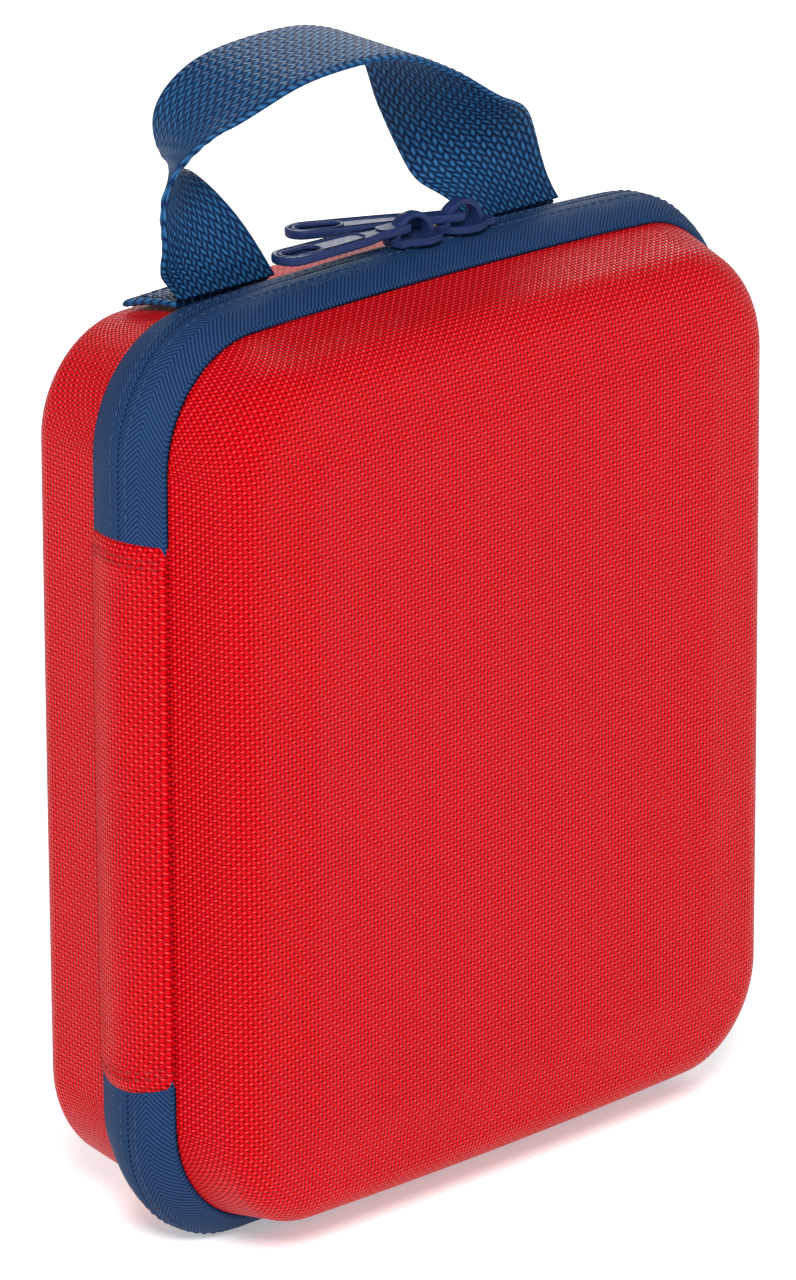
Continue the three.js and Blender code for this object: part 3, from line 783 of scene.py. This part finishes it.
def hinge_panel():
    """Fabric spine that laps over both tape ends, with rounded corners and rolled edges."""
    top = HINGE_TOP + 0.2
    bottom = HINGE_BOTTOM + 0.2
    count = 64
    across = 26
    lap = 0.5
    rows = []
    uvs = []
    for i in range(count + 1):
        t = i / count
        row = []
        line = []
        for j in range(across + 1):
            s = j / across
            y = lerp(-BAND_FRONT - 0.45, BAND_REAR + 0.45, s)
            edge = band_edge(y)
            lower = bottom + hem_rise(s, False)
            upper = top + hem_rise(s, True)
            z = lerp(lower, upper, t)
            hem = min(t, 1 - t) * (upper - lower)
            puff = 0.35 * exp(-((hem - 4.2) / 2.6) ** 2) + 0.25 * sin(pi * t)
            sink = 0.3 * exp(-((hem - 2.9) / 0.7) ** 2)
            ends = 0.45 * (1 - smooth(0, 1.0, hem)) + 0.9 * (1 - smooth(0, 0.05, min(s, 1 - s)))
            outward_by = crown(min(abs(y), edge), edge) + lap + puff - sink - ends
            x = -(HALF_WIDTH + SIDE_BOW * (1 - (z / HALF_HEIGHT) ** 2) + outward_by)
            row.append(to_row(x, y, z))
            line.append((y * 1.05 * MM, z * MM))
        rows.append(row)
        uvs.append(line)
    inner = [[p + Vector((1.1 * MM, 0, 0)) for p in row] for row in rows]
    loops = [row + back[::-1] for row, back in zip(rows, inner)]
    loop_uvs = [line + line[::-1] + line[:1] for line in uvs]
    data = grid_mesh("hinge_panel_cloth", loops, loop_uvs, wrap=True, caps=True)
    piece = add_object("hinge_panel_cloth", data, RED, None, ["hinge_panel"])
    over_hinge(piece)
    spots = []
    for end, sign in ((top, -1), (bottom, 1)):
        for inset in (2.6, 4.0):
            for k in range(9):
                s = (k + 0.5) / 9
                y = lerp(-BAND_FRONT + 0.3, BAND_REAR - 0.3, s)
                edge = band_edge(y)
                z = end + sign * inset + hem_rise(s, sign < 0)
                side_x = HALF_WIDTH + SIDE_BOW * (1 - (z / HALF_HEIGHT) ** 2)
                x = -(side_x + crown(abs(y), edge) + lap + 0.18)
                slope = Vector((2 * BAND_CROWN * y / edge**2, 1, 0)).normalized()
                spots.append((to_row(x, y, z), slope, Vector((-1, 0, 0))))
    thread = stitches("hinge_stitching", spots, 1.6, 0.2, THREAD)
    over_hinge(thread)


# ------------------------------------------------------------------ sliders and pulls


def arc_points(cx, cy, rx, ry, start, end, steps):
    return [
        (cx + rx * cos(lerp(start, end, i / steps)), cy + ry * sin(lerp(start, end, i / steps)))
        for i in range(steps + 1)
    ]


def rounded_plate(name, outlines, thickness, edge):
    """A plate with holes and rounded edges, from closed 2D outlines in millimetres, as a mesh."""
    curve = bpy.data.curves.new(name, "CURVE")
    curve.dimensions = "2D"
    curve.fill_mode = "BOTH"
    curve.extrude = (thickness / 2 - edge) * MM
    curve.bevel_depth = edge * MM
    curve.offset = -edge * MM
    curve.bevel_resolution = 2
    for points in outlines:
        spline = curve.splines.new("POLY")
        spline.points.add(len(points) - 1)
        for target, (x, y) in zip(spline.points, points):
            target.co = (x * MM, y * MM, 0, 1)
        spline.use_cyclic_u = True
    holder = placed(name, curve)
    bpy.context.view_layer.update()
    data = bpy.data.meshes.new_from_object(holder.evaluated_get(bpy.context.evaluated_depsgraph_get()))
    bpy.data.objects.remove(holder)
    bpy.data.curves.remove(curve)
    return data


def shield(length, wide):
    """Slider plate: narrow tail with small ears, full round nose towards +X."""
    half = length / 2
    points = [(-half, -0.45 * wide), (-half + 0.5, -0.62 * wide), (-half + 2.6, -0.62 * wide)]
    points += [(-half + 3.4, -0.8 * wide), (-0.2, -wide)]
    points += arc_points(0.6, 0, half - 0.6, wide, -pi / 2, pi / 2, 14)
    points += [(-0.2, wide), (-half + 3.4, 0.8 * wide), (-half + 2.6, 0.62 * wide)]
    points += [(-half + 0.5, 0.62 * wide), (-half, 0.45 * wide)]
    return points


def bail_mesh(name):
    """Flat strap bent into an arch, swept along a half ellipse with rounded strap edges."""
    half_span = 4.45
    rise = 4.3
    wide = 1.15
    thick = 0.62
    rows = []
    steps = 26
    for i in range(steps + 1):
        angle = lerp(-0.12, pi + 0.12, i / steps)
        centre = Vector((cos(angle) * half_span, 0, sin(angle) * rise))
        normal = Vector((cos(angle) / half_span, 0, sin(angle) / rise)).normalized()
        swell = 1 + 0.25 * abs(cos(angle))
        ring = []
        for k in range(12):
            turn = k * pi / 6
            c = copysign(abs(cos(turn)) ** 0.6, cos(turn))
            s = copysign(abs(sin(turn)) ** 0.6, sin(turn))
            ring.append((centre + normal * (c * thick * swell) + Vector((0, s * wide * swell, 0))) * MM)
        rows.append(ring)
    return grid_mesh(name, rows, strip_uvs(rows, wrap=True), wrap=True, caps=True)


def joined(name, parts):
    """One mesh from (mesh, matrix) pairs."""
    work = bmesh.new()
    for data, matrix in parts:
        data.transform(matrix)
        work.from_mesh(data)
        bpy.data.meshes.remove(data)
    data = finished(name, work, True)
    data.materials.clear()
    data.set_sharp_from_angle(angle=radians(38))
    return data


def move(x, y, z):
    return Matrix.Translation(Vector((x, y, z)) * MM)


def slider(name, direction, x):
    """Zip slider: two shield plates on a post, with turned-down flanges and an arched bail."""
    top = TOP_LINE + 0.4
    turn = Matrix.Identity(4) if direction > 0 else Matrix.Rotation(pi, 4, "Z")
    upper = rounded_plate("upper", [shield(12.4, 4.4)], 1.05, 0.3)
    lower = rounded_plate("lower", [shield(12.2, 4.3)], 1.0, 0.25)
    rim = shield(12.4, 4.4)
    inside = [(px * 0.86 + 0.25, py * 0.8) for px, py in shield(12.4, 4.4)]
    lip = rounded_plate("lip", [rim, inside], 0.6, 0.2)
    post = rounded_plate("post", [[(-1.5, -0.4), (1.5, -0.4), (1.5, 0.4), (-1.5, 0.4)]], 5.0, 0.1)
    nose = rounded_plate("nose", [arc_points(0, 0, 1.5, 1.1, 0, 2 * pi * 15 / 16, 15)], 0.9, 0.25)
    arch = bail_mesh("arch")
    parts = [
        (upper, turn @ move(0, 0, top + 0.55)),
        (lip, turn @ move(0, 0, top + 1.15)),
        (lower, turn @ move(0, 0, top - 5.0)),
        (post, turn @ move(3.2, 0, top - 2.2)),
        (arch, move(-1, 0, top + 1.05)),
        (nose, move(-1 - 4.3, 0, top + 1.35)),
    ]
    data = joined(name, parts)
    data.transform(Matrix.Translation(to_row(x, 0, 0)))
    return add_object(name + "_cast", data, NAVY, name, [name])


def pull_outline(grow=0.0):
    """Tapered tab towards -X with a round end, and a slim ring end at the origin."""
    length = 33.5
    wide = 3.8 + grow
    ring = 2.05 + grow
    tip = -length + 3.8
    points = [(-7, -ring), (-9.5, -ring - 0.35), (-12, -ring - 1.0), (-16, -ring - 1.25)]
    points += arc_points(tip, 0, wide, wide, -pi / 2, -1.5 * pi, 16)
    points += [(-16, ring + 1.25), (-12, ring + 1.0), (-9.5, ring + 0.35), (-7, ring)]
    points += arc_points(-1.3, 0, 2.1 + grow, ring, pi / 2, -pi / 2, 12)
    return points


def slot_outline(length, wide, x):
    half = (length - wide) / 2
    radius = wide / 2
    points = arc_points(x + half, 0, radius, radius, -pi / 2, pi / 2, 8)
    return points + arc_points(x - half, 0, radius, radius, pi / 2, 1.5 * pi, 8)


def pull(name, x, y, matrix):
    """Pull tab: raised rolled border, sunk middle, an oval slot at the tip and an eye at the ring."""
    eye = slot_outline(6.2, 2.5, -3.7)
    slot = slot_outline(8.4, 3.6, -27.3)
    core = rounded_plate("core", [pull_outline(-0.2), eye, slot], 1.1, 0.3)
    field = [(-21.3, -2.1), (-12.6, -1.7), (-11.9, -1.1), (-11.9, 1.1), (-12.6, 1.7), (-21.3, 2.1)]
    field += arc_points(-27.3, 0, 5.3, 2.9, 0.7, 2 * pi - 0.7, 16)
    border = rounded_plate("border", [pull_outline(), field, eye], 1.7, 0.42)
    collar = rounded_plate("collar", [slot_outline(10.2, 5.2, -27.3), slot], 1.6, 0.35)
    data = joined(name, [(core, move(0, 0, 0)), (border, move(0, 0, 0)), (collar, move(0, 0, 0))])
    data.transform(Matrix.Translation(to_row(x, y, TOP_LINE + 0.4 + 1.1 + 2.1)) @ matrix)
    return add_object(name + "_cast", data, NAVY, name, [name])


# ------------------------------------------------------------------ webbing handle

HANDLE_ROUTE = [
    (-41, 9.8, 88.4),
    (-49.3, 10.2, 100.6),
    (-52.7, 11.5, 110.7),
    (-48.6, 11.5, 120.2),
    (-38, 10, 126.8),
    (-22, 10, 129.1),
    (-7, 9.5, 128.4),
    (6, 9.8, 122.8),
    (15.5, 10.2, 112.6),
    (26, 10.8, 101.6),
    (35.4, 9.8, 88.4),
]
ARCH_TILT = 0.07


def spline_route(points, steps):
    """Evenly spaced points on a centripetal Catmull-Rom curve through the given points."""
    knots = [Vector(p) for p in points]
    ends = [knots[0] * 2 - knots[1]] + knots + [knots[-1] * 2 - knots[-2]]
    fine = []
    for p0, p1, p2, p3 in zip(ends, ends[1:], ends[2:], ends[3:]):
        a = (p1 - p0).length ** 0.5
        b = (p2 - p1).length ** 0.5
        c = (p3 - p2).length ** 0.5
        m1 = (p1 - p0) / a - (p2 - p0) / (a + b) + (p2 - p1) / b
        m2 = (p2 - p1) / b - (p3 - p1) / (b + c) + (p3 - p2) / c
        for i in range(24):
            t = i / 24
            h1 = 2 * t**3 - 3 * t**2 + 1
            h2 = t**3 - 2 * t**2 + t
            h3 = -2 * t**3 + 3 * t**2
            h4 = t**3 - t**2
            fine.append(p1 * h1 + m1 * b * h2 + p2 * h3 + m2 * b * h4)
    fine.append(knots[-1])
    lengths = [0.0]
    for a, b in zip(fine, fine[1:]):
        lengths.append(lengths[-1] + (b - a).length)
    route = []
    k = 0
    for i in range(steps + 1):
        want = lengths[-1] * i / steps
        while k < len(fine) - 2 and lengths[k + 1] < want:
            k += 1
        share = (want - lengths[k]) / (lengths[k + 1] - lengths[k])
        route.append(fine[k].lerp(fine[k + 1], share))
    return route, lengths[-1]


RIB_PITCH = 2.2


def webbing_section(along):
    """Section of the webbing: flat ribbed faces and full, rolled selvedges, as (across, through)."""
    swell = 1 + 0.14 * sin(2 * pi * along / RIB_PITCH)
    thickness = WEBBING_THICKNESS * 0.88
    points = []
    half = WEBBING_WIDTH / 2 - 1.1
    for k in range(9):
        points.append((lerp(-half, half, k / 8), -thickness / 2 * swell))
    points += [(half + 0.75, -0.42), (half + 1.1, 0), (half + 0.75, 0.42)]
    for k in range(9):
        points.append((lerp(half, -half, k / 8), thickness / 2 * swell))
    points += [(-half - 0.75, 0.42), (-half - 1.1, 0), (-half - 0.75, -0.42)]
    return points


def webbing_mesh(name, frames, length):
    """Webbing swept along frames of (middle, across, normal), with a rib every RIB_PITCH."""
    rows = []
    uvs = []
    for i, (middle, across, normal) in enumerate(frames):
        v = length * i / (len(frames) - 1)
        section = webbing_section(v)
        rows.append([to_row(*(middle + across * a + normal * n)) for a, n in section])
        line = [(a * MM, v * MM) for a, n in section]
        uvs.append(line + line[:1])
    return grid_mesh(name, rows, uvs, wrap=True, caps=True)


def webbing_piece(name, data, body, node):
    piece = add_object(name, data, WEBBING, body, [node])


def handle_loop():
    """The carry loop: flat to the case at both feet, half a turn round to lie flat on top."""
    route, length = spline_route(HANDLE_ROUTE, 330)
    frames = []
    for i, middle in enumerate(route):
        t = i / (len(route) - 1)
        from_foot = 1 - abs(2 * t - 1)
        turned = smooth(0.02, 0.75, from_foot) / 2
        turn = pi * (1 + (turned if t < 0.5 else 1 - turned))
        squared = smooth(0, 0.35, from_foot)
        tangent = (route[min(i + 1, len(route) - 1)] - route[max(i - 1, 0)]).normalized()
        across = Vector((cos(turn), sin(turn), ARCH_TILT * sin(turn)))
        across = (across - tangent * across.dot(tangent) * squared).normalized()
        frames.append((middle, across, tangent.cross(across).normalized()))
    data = webbing_mesh("handle_webbing", frames, length)
    webbing_piece("handle_webbing", data, "handle", "handle_loop")


def strap_tail(name, x):
    """The webbing's sewn end, folded back over the top of the rear shell, with a box of stitches."""
    start = BAND_REAR + 1.2
    steps = 60
    reach = 13.2

    def height(px, y):
        edge_x = x + px
        top = HALF_HEIGHT + END_BOW * (1 - (edge_x / HALF_WIDTH) ** 2) - RIM_INSET
        along = y - start
        return top + GAP + 0.5 - 0.012 * along**2 - 0.02 * along

    rows = []
    uvs = []
    for i in range(steps + 1):
        y = start + reach * i / steps
        slope = atan(0.024 * (y - start) + 0.02)
        section = webbing_section(y - start)
        row = []
        for a, n in section:
            lift = 0.8 + n
            rise = height(a, y) + cos(slope) * lift
            row.append(to_row(x + a, y + sin(slope) * lift, rise))
        rows.append(row)
        line = [(a * MM, (y - start) * MM) for a, n in section]
        uvs.append(line + line[:1])
    data = grid_mesh(name + "_webbing", rows, uvs, wrap=True, caps=True)
    webbing_piece(name + "_webbing", data, "rear_case", name)
    spots = []

    def sew(a, y, direction):
        place = to_row(x + a, y, height(a, y) + WEBBING_THICKNESS + 0.05)
        spots.append((place, direction, Vector((0, 0, 1))))

    for y in (start + 2.2, start + 10.6):
        for k in range(8):
            sew(lerp(-9.6, 9.6, k / 7), y, Vector((1, 0, 0)))
    for a in (-10.6, 10.6):
        for k in range(3):
            sew(a, lerp(start + 3.6, start + 9.2, k / 2), Vector((0, 1, 0)))
    stitches(name + "_stitching", spots, 1.9, 0.22, TAPE_THREAD, "rear_case")


# ------------------------------------------------------------------ contents


def ripple(x, z, seed):
    """Smooth, repeatable unevenness between about -1 and 1."""
    waves = random.Random(seed)
    total = 0.0
    for octave in (1, 2, 3):
        fx = waves.uniform(0.05, 0.12) * octave
        fz = waves.uniform(0.05, 0.12) * octave
        total += sin(fx * x * 2 + fz * z + waves.uniform(0, 6)) / octave
        total += sin(fz * z * 2 - fx * x + waves.uniform(0, 6)) / octave
    return total / 3.7


def node_box(node):
    low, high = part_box(node)
    return (low + high) / 2, (high - low) / 2


def inflated(data, half):
    """Blows the flat pouch up with Blender's cloth, then keeps every point inside the node's box."""
    piece = placed("pouch_sim", data)
    cloth = piece.modifiers.new("cloth", "CLOTH")
    settings = cloth.settings
    settings.quality = 6
    settings.mass = 0.02
    settings.tension_stiffness = 30
    settings.compression_stiffness = 30
    settings.bending_stiffness = 0.05
    settings.use_pressure = True
    settings.uniform_pressure_force = 1.2
    settings.effector_weights.gravity = 0
    cloth.collision_settings.use_collision = False
    scene = bpy.context.scene
    for step in range(1, 13):
        scene.frame_set(step)
    view = bpy.context.evaluated_depsgraph_get()
    view.update()
    shaped = piece.evaluated_get(view).data
    moved = [v.co.copy() for v in shaped.vertices]
    scene.frame_set(1)
    bpy.data.objects.remove(piece)
    cap = 1.5 * MM
    for vertex, target in zip(data.vertices, moved):
        step = target - vertex.co
        if step.length > cap:
            step = step.normalized() * cap
        place = vertex.co + step
        vertex.co = [max(-h, min(h, c)) for c, h in zip(place, half)]
    data.update()


def pouch(node, material, body, seed):
    """A sealed dressing pack: a pillow with flat crimped ends and soft creases."""
    centre, half = node_box(node)
    across = 30
    along = 36
    crimp = 0.1
    rows = []
    uvs = []
    for i in range(along + 1):
        v = lerp(-1, 1, i / along)
        inner = max(0, (1 - abs(v) - crimp) / (1 - crimp))
        fill = min(1, inner * 3.2) ** 0.6 if inner > 0 else 0
        row = []
        line = []
        for face in (-1, 1):
            for j in range(across):
                u = lerp(-1, 1, j / across) * -face
                dome = (1 - abs(u) ** 4) ** 0.7
                x = u * half.x * (1 - 0.025 * fill * (1 - v * v))
                z = v * half.z
                uneven = 0.1 * ripple(x / MM, z / MM, seed + face) * fill
                thick = 0.05 + 0.95 * fill * dome * (0.85 + uneven)
                crimps = 0.06 * sin(abs(v) * half.z / MM * 4.2) * (1 if fill == 0 else 0)
                y = face * half.y * min(1, thick) + half.y * crimps
                row.append(Vector((x, y, z)))
                line.append((x + (0.5 if face > 0 else 0), z))
        rows.append(row)
        uvs.append(line + line[:1])
    data = grid_mesh(node + "_wrapper", rows, uvs, wrap=True, caps=True)
    inflated(data, half)
    data.transform(Matrix.Translation(centre))
    piece = add_object(node + "_wrapper", data, material, body, [node])


def wound_roll(node, axis, bore, layers):
    """Bandage or tape wound up: slightly uneven sides and the edges of its layers at both ends."""
    centre, half = node_box(node)
    length = half.y if axis == "Y" else half.z
    radius = half.x
    profile = []
    rings = 2 * layers
    for end in (-1, 1):
        radii = [lerp(bore * MM, radius, k / rings) for k in range(rings + 1)]
        for k, r in enumerate(radii if end < 0 else radii[::-1]):
            lift = 0.35 * MM * (k % 2) + 0.25 * MM
            profile.append((r, end * (length - lift)))
        if end < 0:
            for t in (0.04, 0.2, 0.4, 0.6, 0.8, 0.96):
                profile.append((radius * (0.985 + 0.012 * sin(9 * t)), lerp(-length, length, t)))
    count = 56
    rows = []
    uvs = []
    for r, z in profile:
        row = []
        line = []
        for k in range(count + 1):
            angle = 2 * pi * k / count
            flap = 1 - 0.03 * smooth(0.0, 0.12, k / count) if r > 0.9 * radius else 1
            point = Vector((r * flap * cos(angle), r * flap * sin(angle), z))
            if axis == "Y":
                point = Vector((point.x, point.z, -point.y))
            row.append(point)
            line.append((radius * angle, z + r))
        rows.append(row[:-1])
        uvs.append(line)
    data = grid_mesh(node + "_wound", rows, uvs + uvs[:1], wrap=True, close=bore > 0, caps=bore == 0)
    data.transform(Matrix.Translation(centre))
    return add_object(node + "_wound", data, GAUZE, "rear_case", [node])


def elastic_band(node, body, belly, along="X"):
    """Woven elastic pulled over what it holds: thin, with rounded edges and a little slack."""
    centre, half = node_box(node)
    steps = 48
    length, width = (half.x, half.z) if along == "X" else (half.z, half.x)
    rows = []
    uvs = []
    for i in range(steps + 1):
        s = lerp(-1, 1, i / steps)
        sag = 0.12 * sin(5 * s) * MM + belly * MM * (1 - s * s)
        wide = width * (1 - 0.03 * (1 - s * s))
        row = []
        line = []
        for face in (-1, 1):
            for k in range(9):
                t = lerp(-1, 1, k / 8) * -face
                thick = 0.38 * MM * (1 - 0.6 * abs(t) ** 8)
                point = (s * length, sag + face * thick, t * wide)
                row.append(Vector(point if along == "X" else (point[2], point[1], point[0])))
                line.append((t * wide, s * length))
        rows.append(row)
        uvs.append(line + line[:1])
    data = grid_mesh(node + "_band", rows, uvs, wrap=True, caps=True)
    data.transform(Matrix.Translation(centre))
    piece = add_object(node + "_band", data, ELASTIC, body, [node])
    spots = []
    for s in (-0.96, -0.93, 0.93, 0.96):
        for k in range(6):
            t = lerp(-0.85, 0.85, k / 5)
            point = (s * length, 0.0, t * width)
            point = Vector(point if along == "X" else (point[2], point[1], point[0]))
            side = -1 if body == "rear_case" else 1
            lie = Vector((0, 0, 1)) if along == "X" else Vector((1, 0, 0))
            spots.append((centre + point + Vector((0, side * 0.42 * MM, 0)), lie, Vector((0, side, 0))))
    stitches(node + "_stitching", spots, 2.0, 0.16, NET, body)


def mesh_pocket():
    """Knitted net with hexagonal holes, stretched between its hem and the lining."""
    centre, half = node_box("mesh_pocket")
    pitch = 3.6 * MM
    work = bmesh.new()
    count_x = int(2 * half.x / pitch)
    count_z = int(2 * half.z / (pitch * 0.8))
    grid = {}
    for i in range(count_x + 1):
        for j in range(count_z + 1):
            x = lerp(-half.x, half.x, i / count_x)
            z = lerp(-half.z, half.z, j / count_z)
            z += pitch * 0.16 * (1 if (i + j) % 2 else -1)
            belly = 0.2 * MM * cos(pi * x / half.x / 2) * sin(9 * z / half.z)
            z = max(-half.z, min(half.z, z))
            grid[i, j] = work.verts.new((x, belly * 0.6, z))
    rows = {}
    for j in range(count_z):
        for i in range(count_x):
            corners = (grid[i, j], grid[i + 1, j], grid[i + 1, j + 1], grid[i, j + 1])
            rows[i, j] = work.faces.new(corners)
    merge = []
    for j in range(count_z):
        for i in range(j % 2, count_x - 1, 2):
            merge += list(set(rows[i, j].edges) & set(rows[i + 1, j].edges))
    bmesh.ops.dissolve_edges(work, edges=merge, use_verts=False)
    data = finished("mesh_pocket_net", work)
    data.transform(Matrix.Translation(centre))
    piece = add_object("mesh_pocket_net", data, NET, None, ["mesh_pocket"])
    wire = piece.modifiers.new("strands", "WIREFRAME")
    wire.thickness = 0.62 * MM
    wire.use_even_offset = False
    view = bpy.context.evaluated_depsgraph_get()
    baked = bpy.data.meshes.new_from_object(piece.evaluated_get(view))
    piece.modifiers.clear()
    piece.data = baked
    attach(piece, "front_case")


def tools():
    """Scissors, rivet and tweezers keep their CAD shape and get brushed steel."""
    for node in ("scissor_blade_lower", "scissor_blade_upper", "scissor_rivet", "tweezers"):
        target = bpy.data.objects[node]
        target.data.materials.clear()
        target.data.materials.append(STEEL)


# ------------------------------------------------------------------ assembly

for side, half_name in ((1, "rear"), (-1, "front")):
    body = half_name + "_case"
    inside = SHELL_WALL + GAP
    moulded_half(half_name + "_shell", "_fabric", side, 0, SHELL_WALL, RED)
    moulded_half(
        half_name + "_lining", "_cloth", side, inside, inside + LINING, LINING_CLOTH
    )
    seam_binding(half_name + "_seam_binding", side, body)
    zip_tape(half_name + "_zip_tape", side, body)
    zip_coil(half_name + "_zip_coil", side, body)
    tape_stitching(half_name + "_tape_stitching", side, 1.9, body)

hinge_panel()
slider("slider_left", 1, -1.6)
slider("slider_right", -1, 11.6)
pull("pull_left", -3.85, 0.2, Matrix.Identity(4))
turn_right = Matrix.Rotation(radians(-36), 4, "Z") @ Matrix.Rotation(radians(-3), 4, "Y")
pull("pull_right", 9.35, -1.65, turn_right)
handle_loop()
strap_tail("strap_tail_left", HANDLE_ROUTE[0][0])
strap_tail("strap_tail_right", HANDLE_ROUTE[-1][0])

PACKS = [
    ("triangular_bandage", PAPER, "wrapper_paper", "rear_case"),
    ("cold", BLUE_FILM, "blue_film", "rear_case"),
    ("gauze_pad", GREEN_FILM, "green_film", "rear_case"),
    ("gloves", PAPER, "wrapper_paper", "rear_case"),
    ("wipes", GREEN_FILM, "green_film", "front_case"),
    ("plaster", PAPER, "wrapper_paper", "front_case"),
    ("foil_blanket", SILVER_FILM, "silver_film", "front_case"),
]
for number, (kind, material, slot_name, body) in enumerate(PACKS):
    pouch(kind + "_pack", material, body, 3 + 2 * number)
wound_roll("bandage_roll_large", "Z", 0, 9)
wound_roll("bandage_roll_small", "Z", 0, 8)
wound_roll("tape_roll", "Y", 9, 5)
elastic_band("elastic_strap_upper", "rear_case", -0.1)
elastic_band("elastic_strap_lower", "rear_case", -0.1)
elastic_band("pocket_binding", "front_case", 0.2)
elastic_band("elastic_loop_left", "front_case", 0.1, "Z")
elastic_band("elastic_loop_right", "front_case", 0.1, "Z")
mesh_pocket()
tools()

# ------------------------------------------------------------------ studio


def area_light(name, place, aim, size, power, colour=(1, 1, 1)):
    lamp = bpy.data.lights.new(name, "AREA")
    lamp.shape = "DISK"
    lamp.size = size
    lamp.energy = power
    lamp.color = colour
    holder = placed(name, lamp)
    holder.location = place
    holder.rotation_euler = (Vector(aim) - Vector(place)).to_track_quat("-Z", "Y").to_euler()
    return holder


def floor():
    data = bpy.data.meshes.new("floor")
    reach = 6
    corners = [(-reach, -reach, 0), (reach, -reach, 0), (reach, reach, 0), (-reach, reach, 0)]
    data.from_pydata(corners, [], [(0, 1, 2, 3)])
    paint = Paint("floor_paper", roughness=0.9, specular=0.1)
    paint.shader.inputs["Emission Color"].default_value = (1, 1, 1, 1)
    paint.shader.inputs["Emission Strength"].default_value = 0.35
    tooth = paint.noise(400.0, 2.0)
    data.materials.append(paint.finish((0.93, 0.93, 0.93, 1), paint.bump(tooth, 0.05, 0.2)))
    piece = placed("floor", data)


def studio():
    world = bpy.data.worlds.new("studio")
    bpy.context.scene.world = world
    world.use_nodes = True
    world.node_tree.nodes["Background"].inputs[0].default_value = (1, 1, 1, 1)
    world.node_tree.nodes["Background"].inputs[1].default_value = 0.4
    aim = (0, 0, 0.1)
    area_light("key", (-1.0, -1.0, 1.2), aim, 0.6, 31)
    area_light("fill", (0.9, -1.3, 0.5), aim, 0.9, 5)
    area_light("rim", (0.9, 0.9, 0.7), aim, 0.6, 7)
    area_light("left_rim", (-1.3, 0.7, 0.6), aim, 0.6, 3)
    settings = bpy.context.scene.view_settings
    settings.view_transform = "Standard"
    settings.look = "None"
    settings.exposure = 0
    settings.gamma = 1


def camera():
    azimuth = radians(-45.527)
    elevation = radians(18.026)
    roll = radians(-0.268)
    aim = to_row(-6.452, 0, 14.318)
    back = Vector(
        (
            sin(azimuth) * cos(elevation),
            -cos(azimuth) * cos(elevation),
            sin(elevation),
        )
    )
    level_right = Vector((cos(azimuth), sin(azimuth), 0))
    level_up = back.cross(level_right)
    right = level_right * cos(roll) + level_up * sin(roll)
    up = level_up * cos(roll) - level_right * sin(roll)
    lens = bpy.data.cameras.new("camera")
    lens.sensor_width = 36
    lens.lens = 225.44
    lens.clip_start = 0.05
    lens.clip_end = 30
    holder = placed("camera", lens)
    place = aim + back * 1.51108
    holder.matrix_world = Matrix(
        (
            (right.x, up.x, back.x, place.x),
            (right.y, up.y, back.y, place.y),
            (right.z, up.z, back.z, place.z),
            (0, 0, 0, 1),
        )
    )
    bpy.context.scene.camera = holder


floor()
studio()
camera()
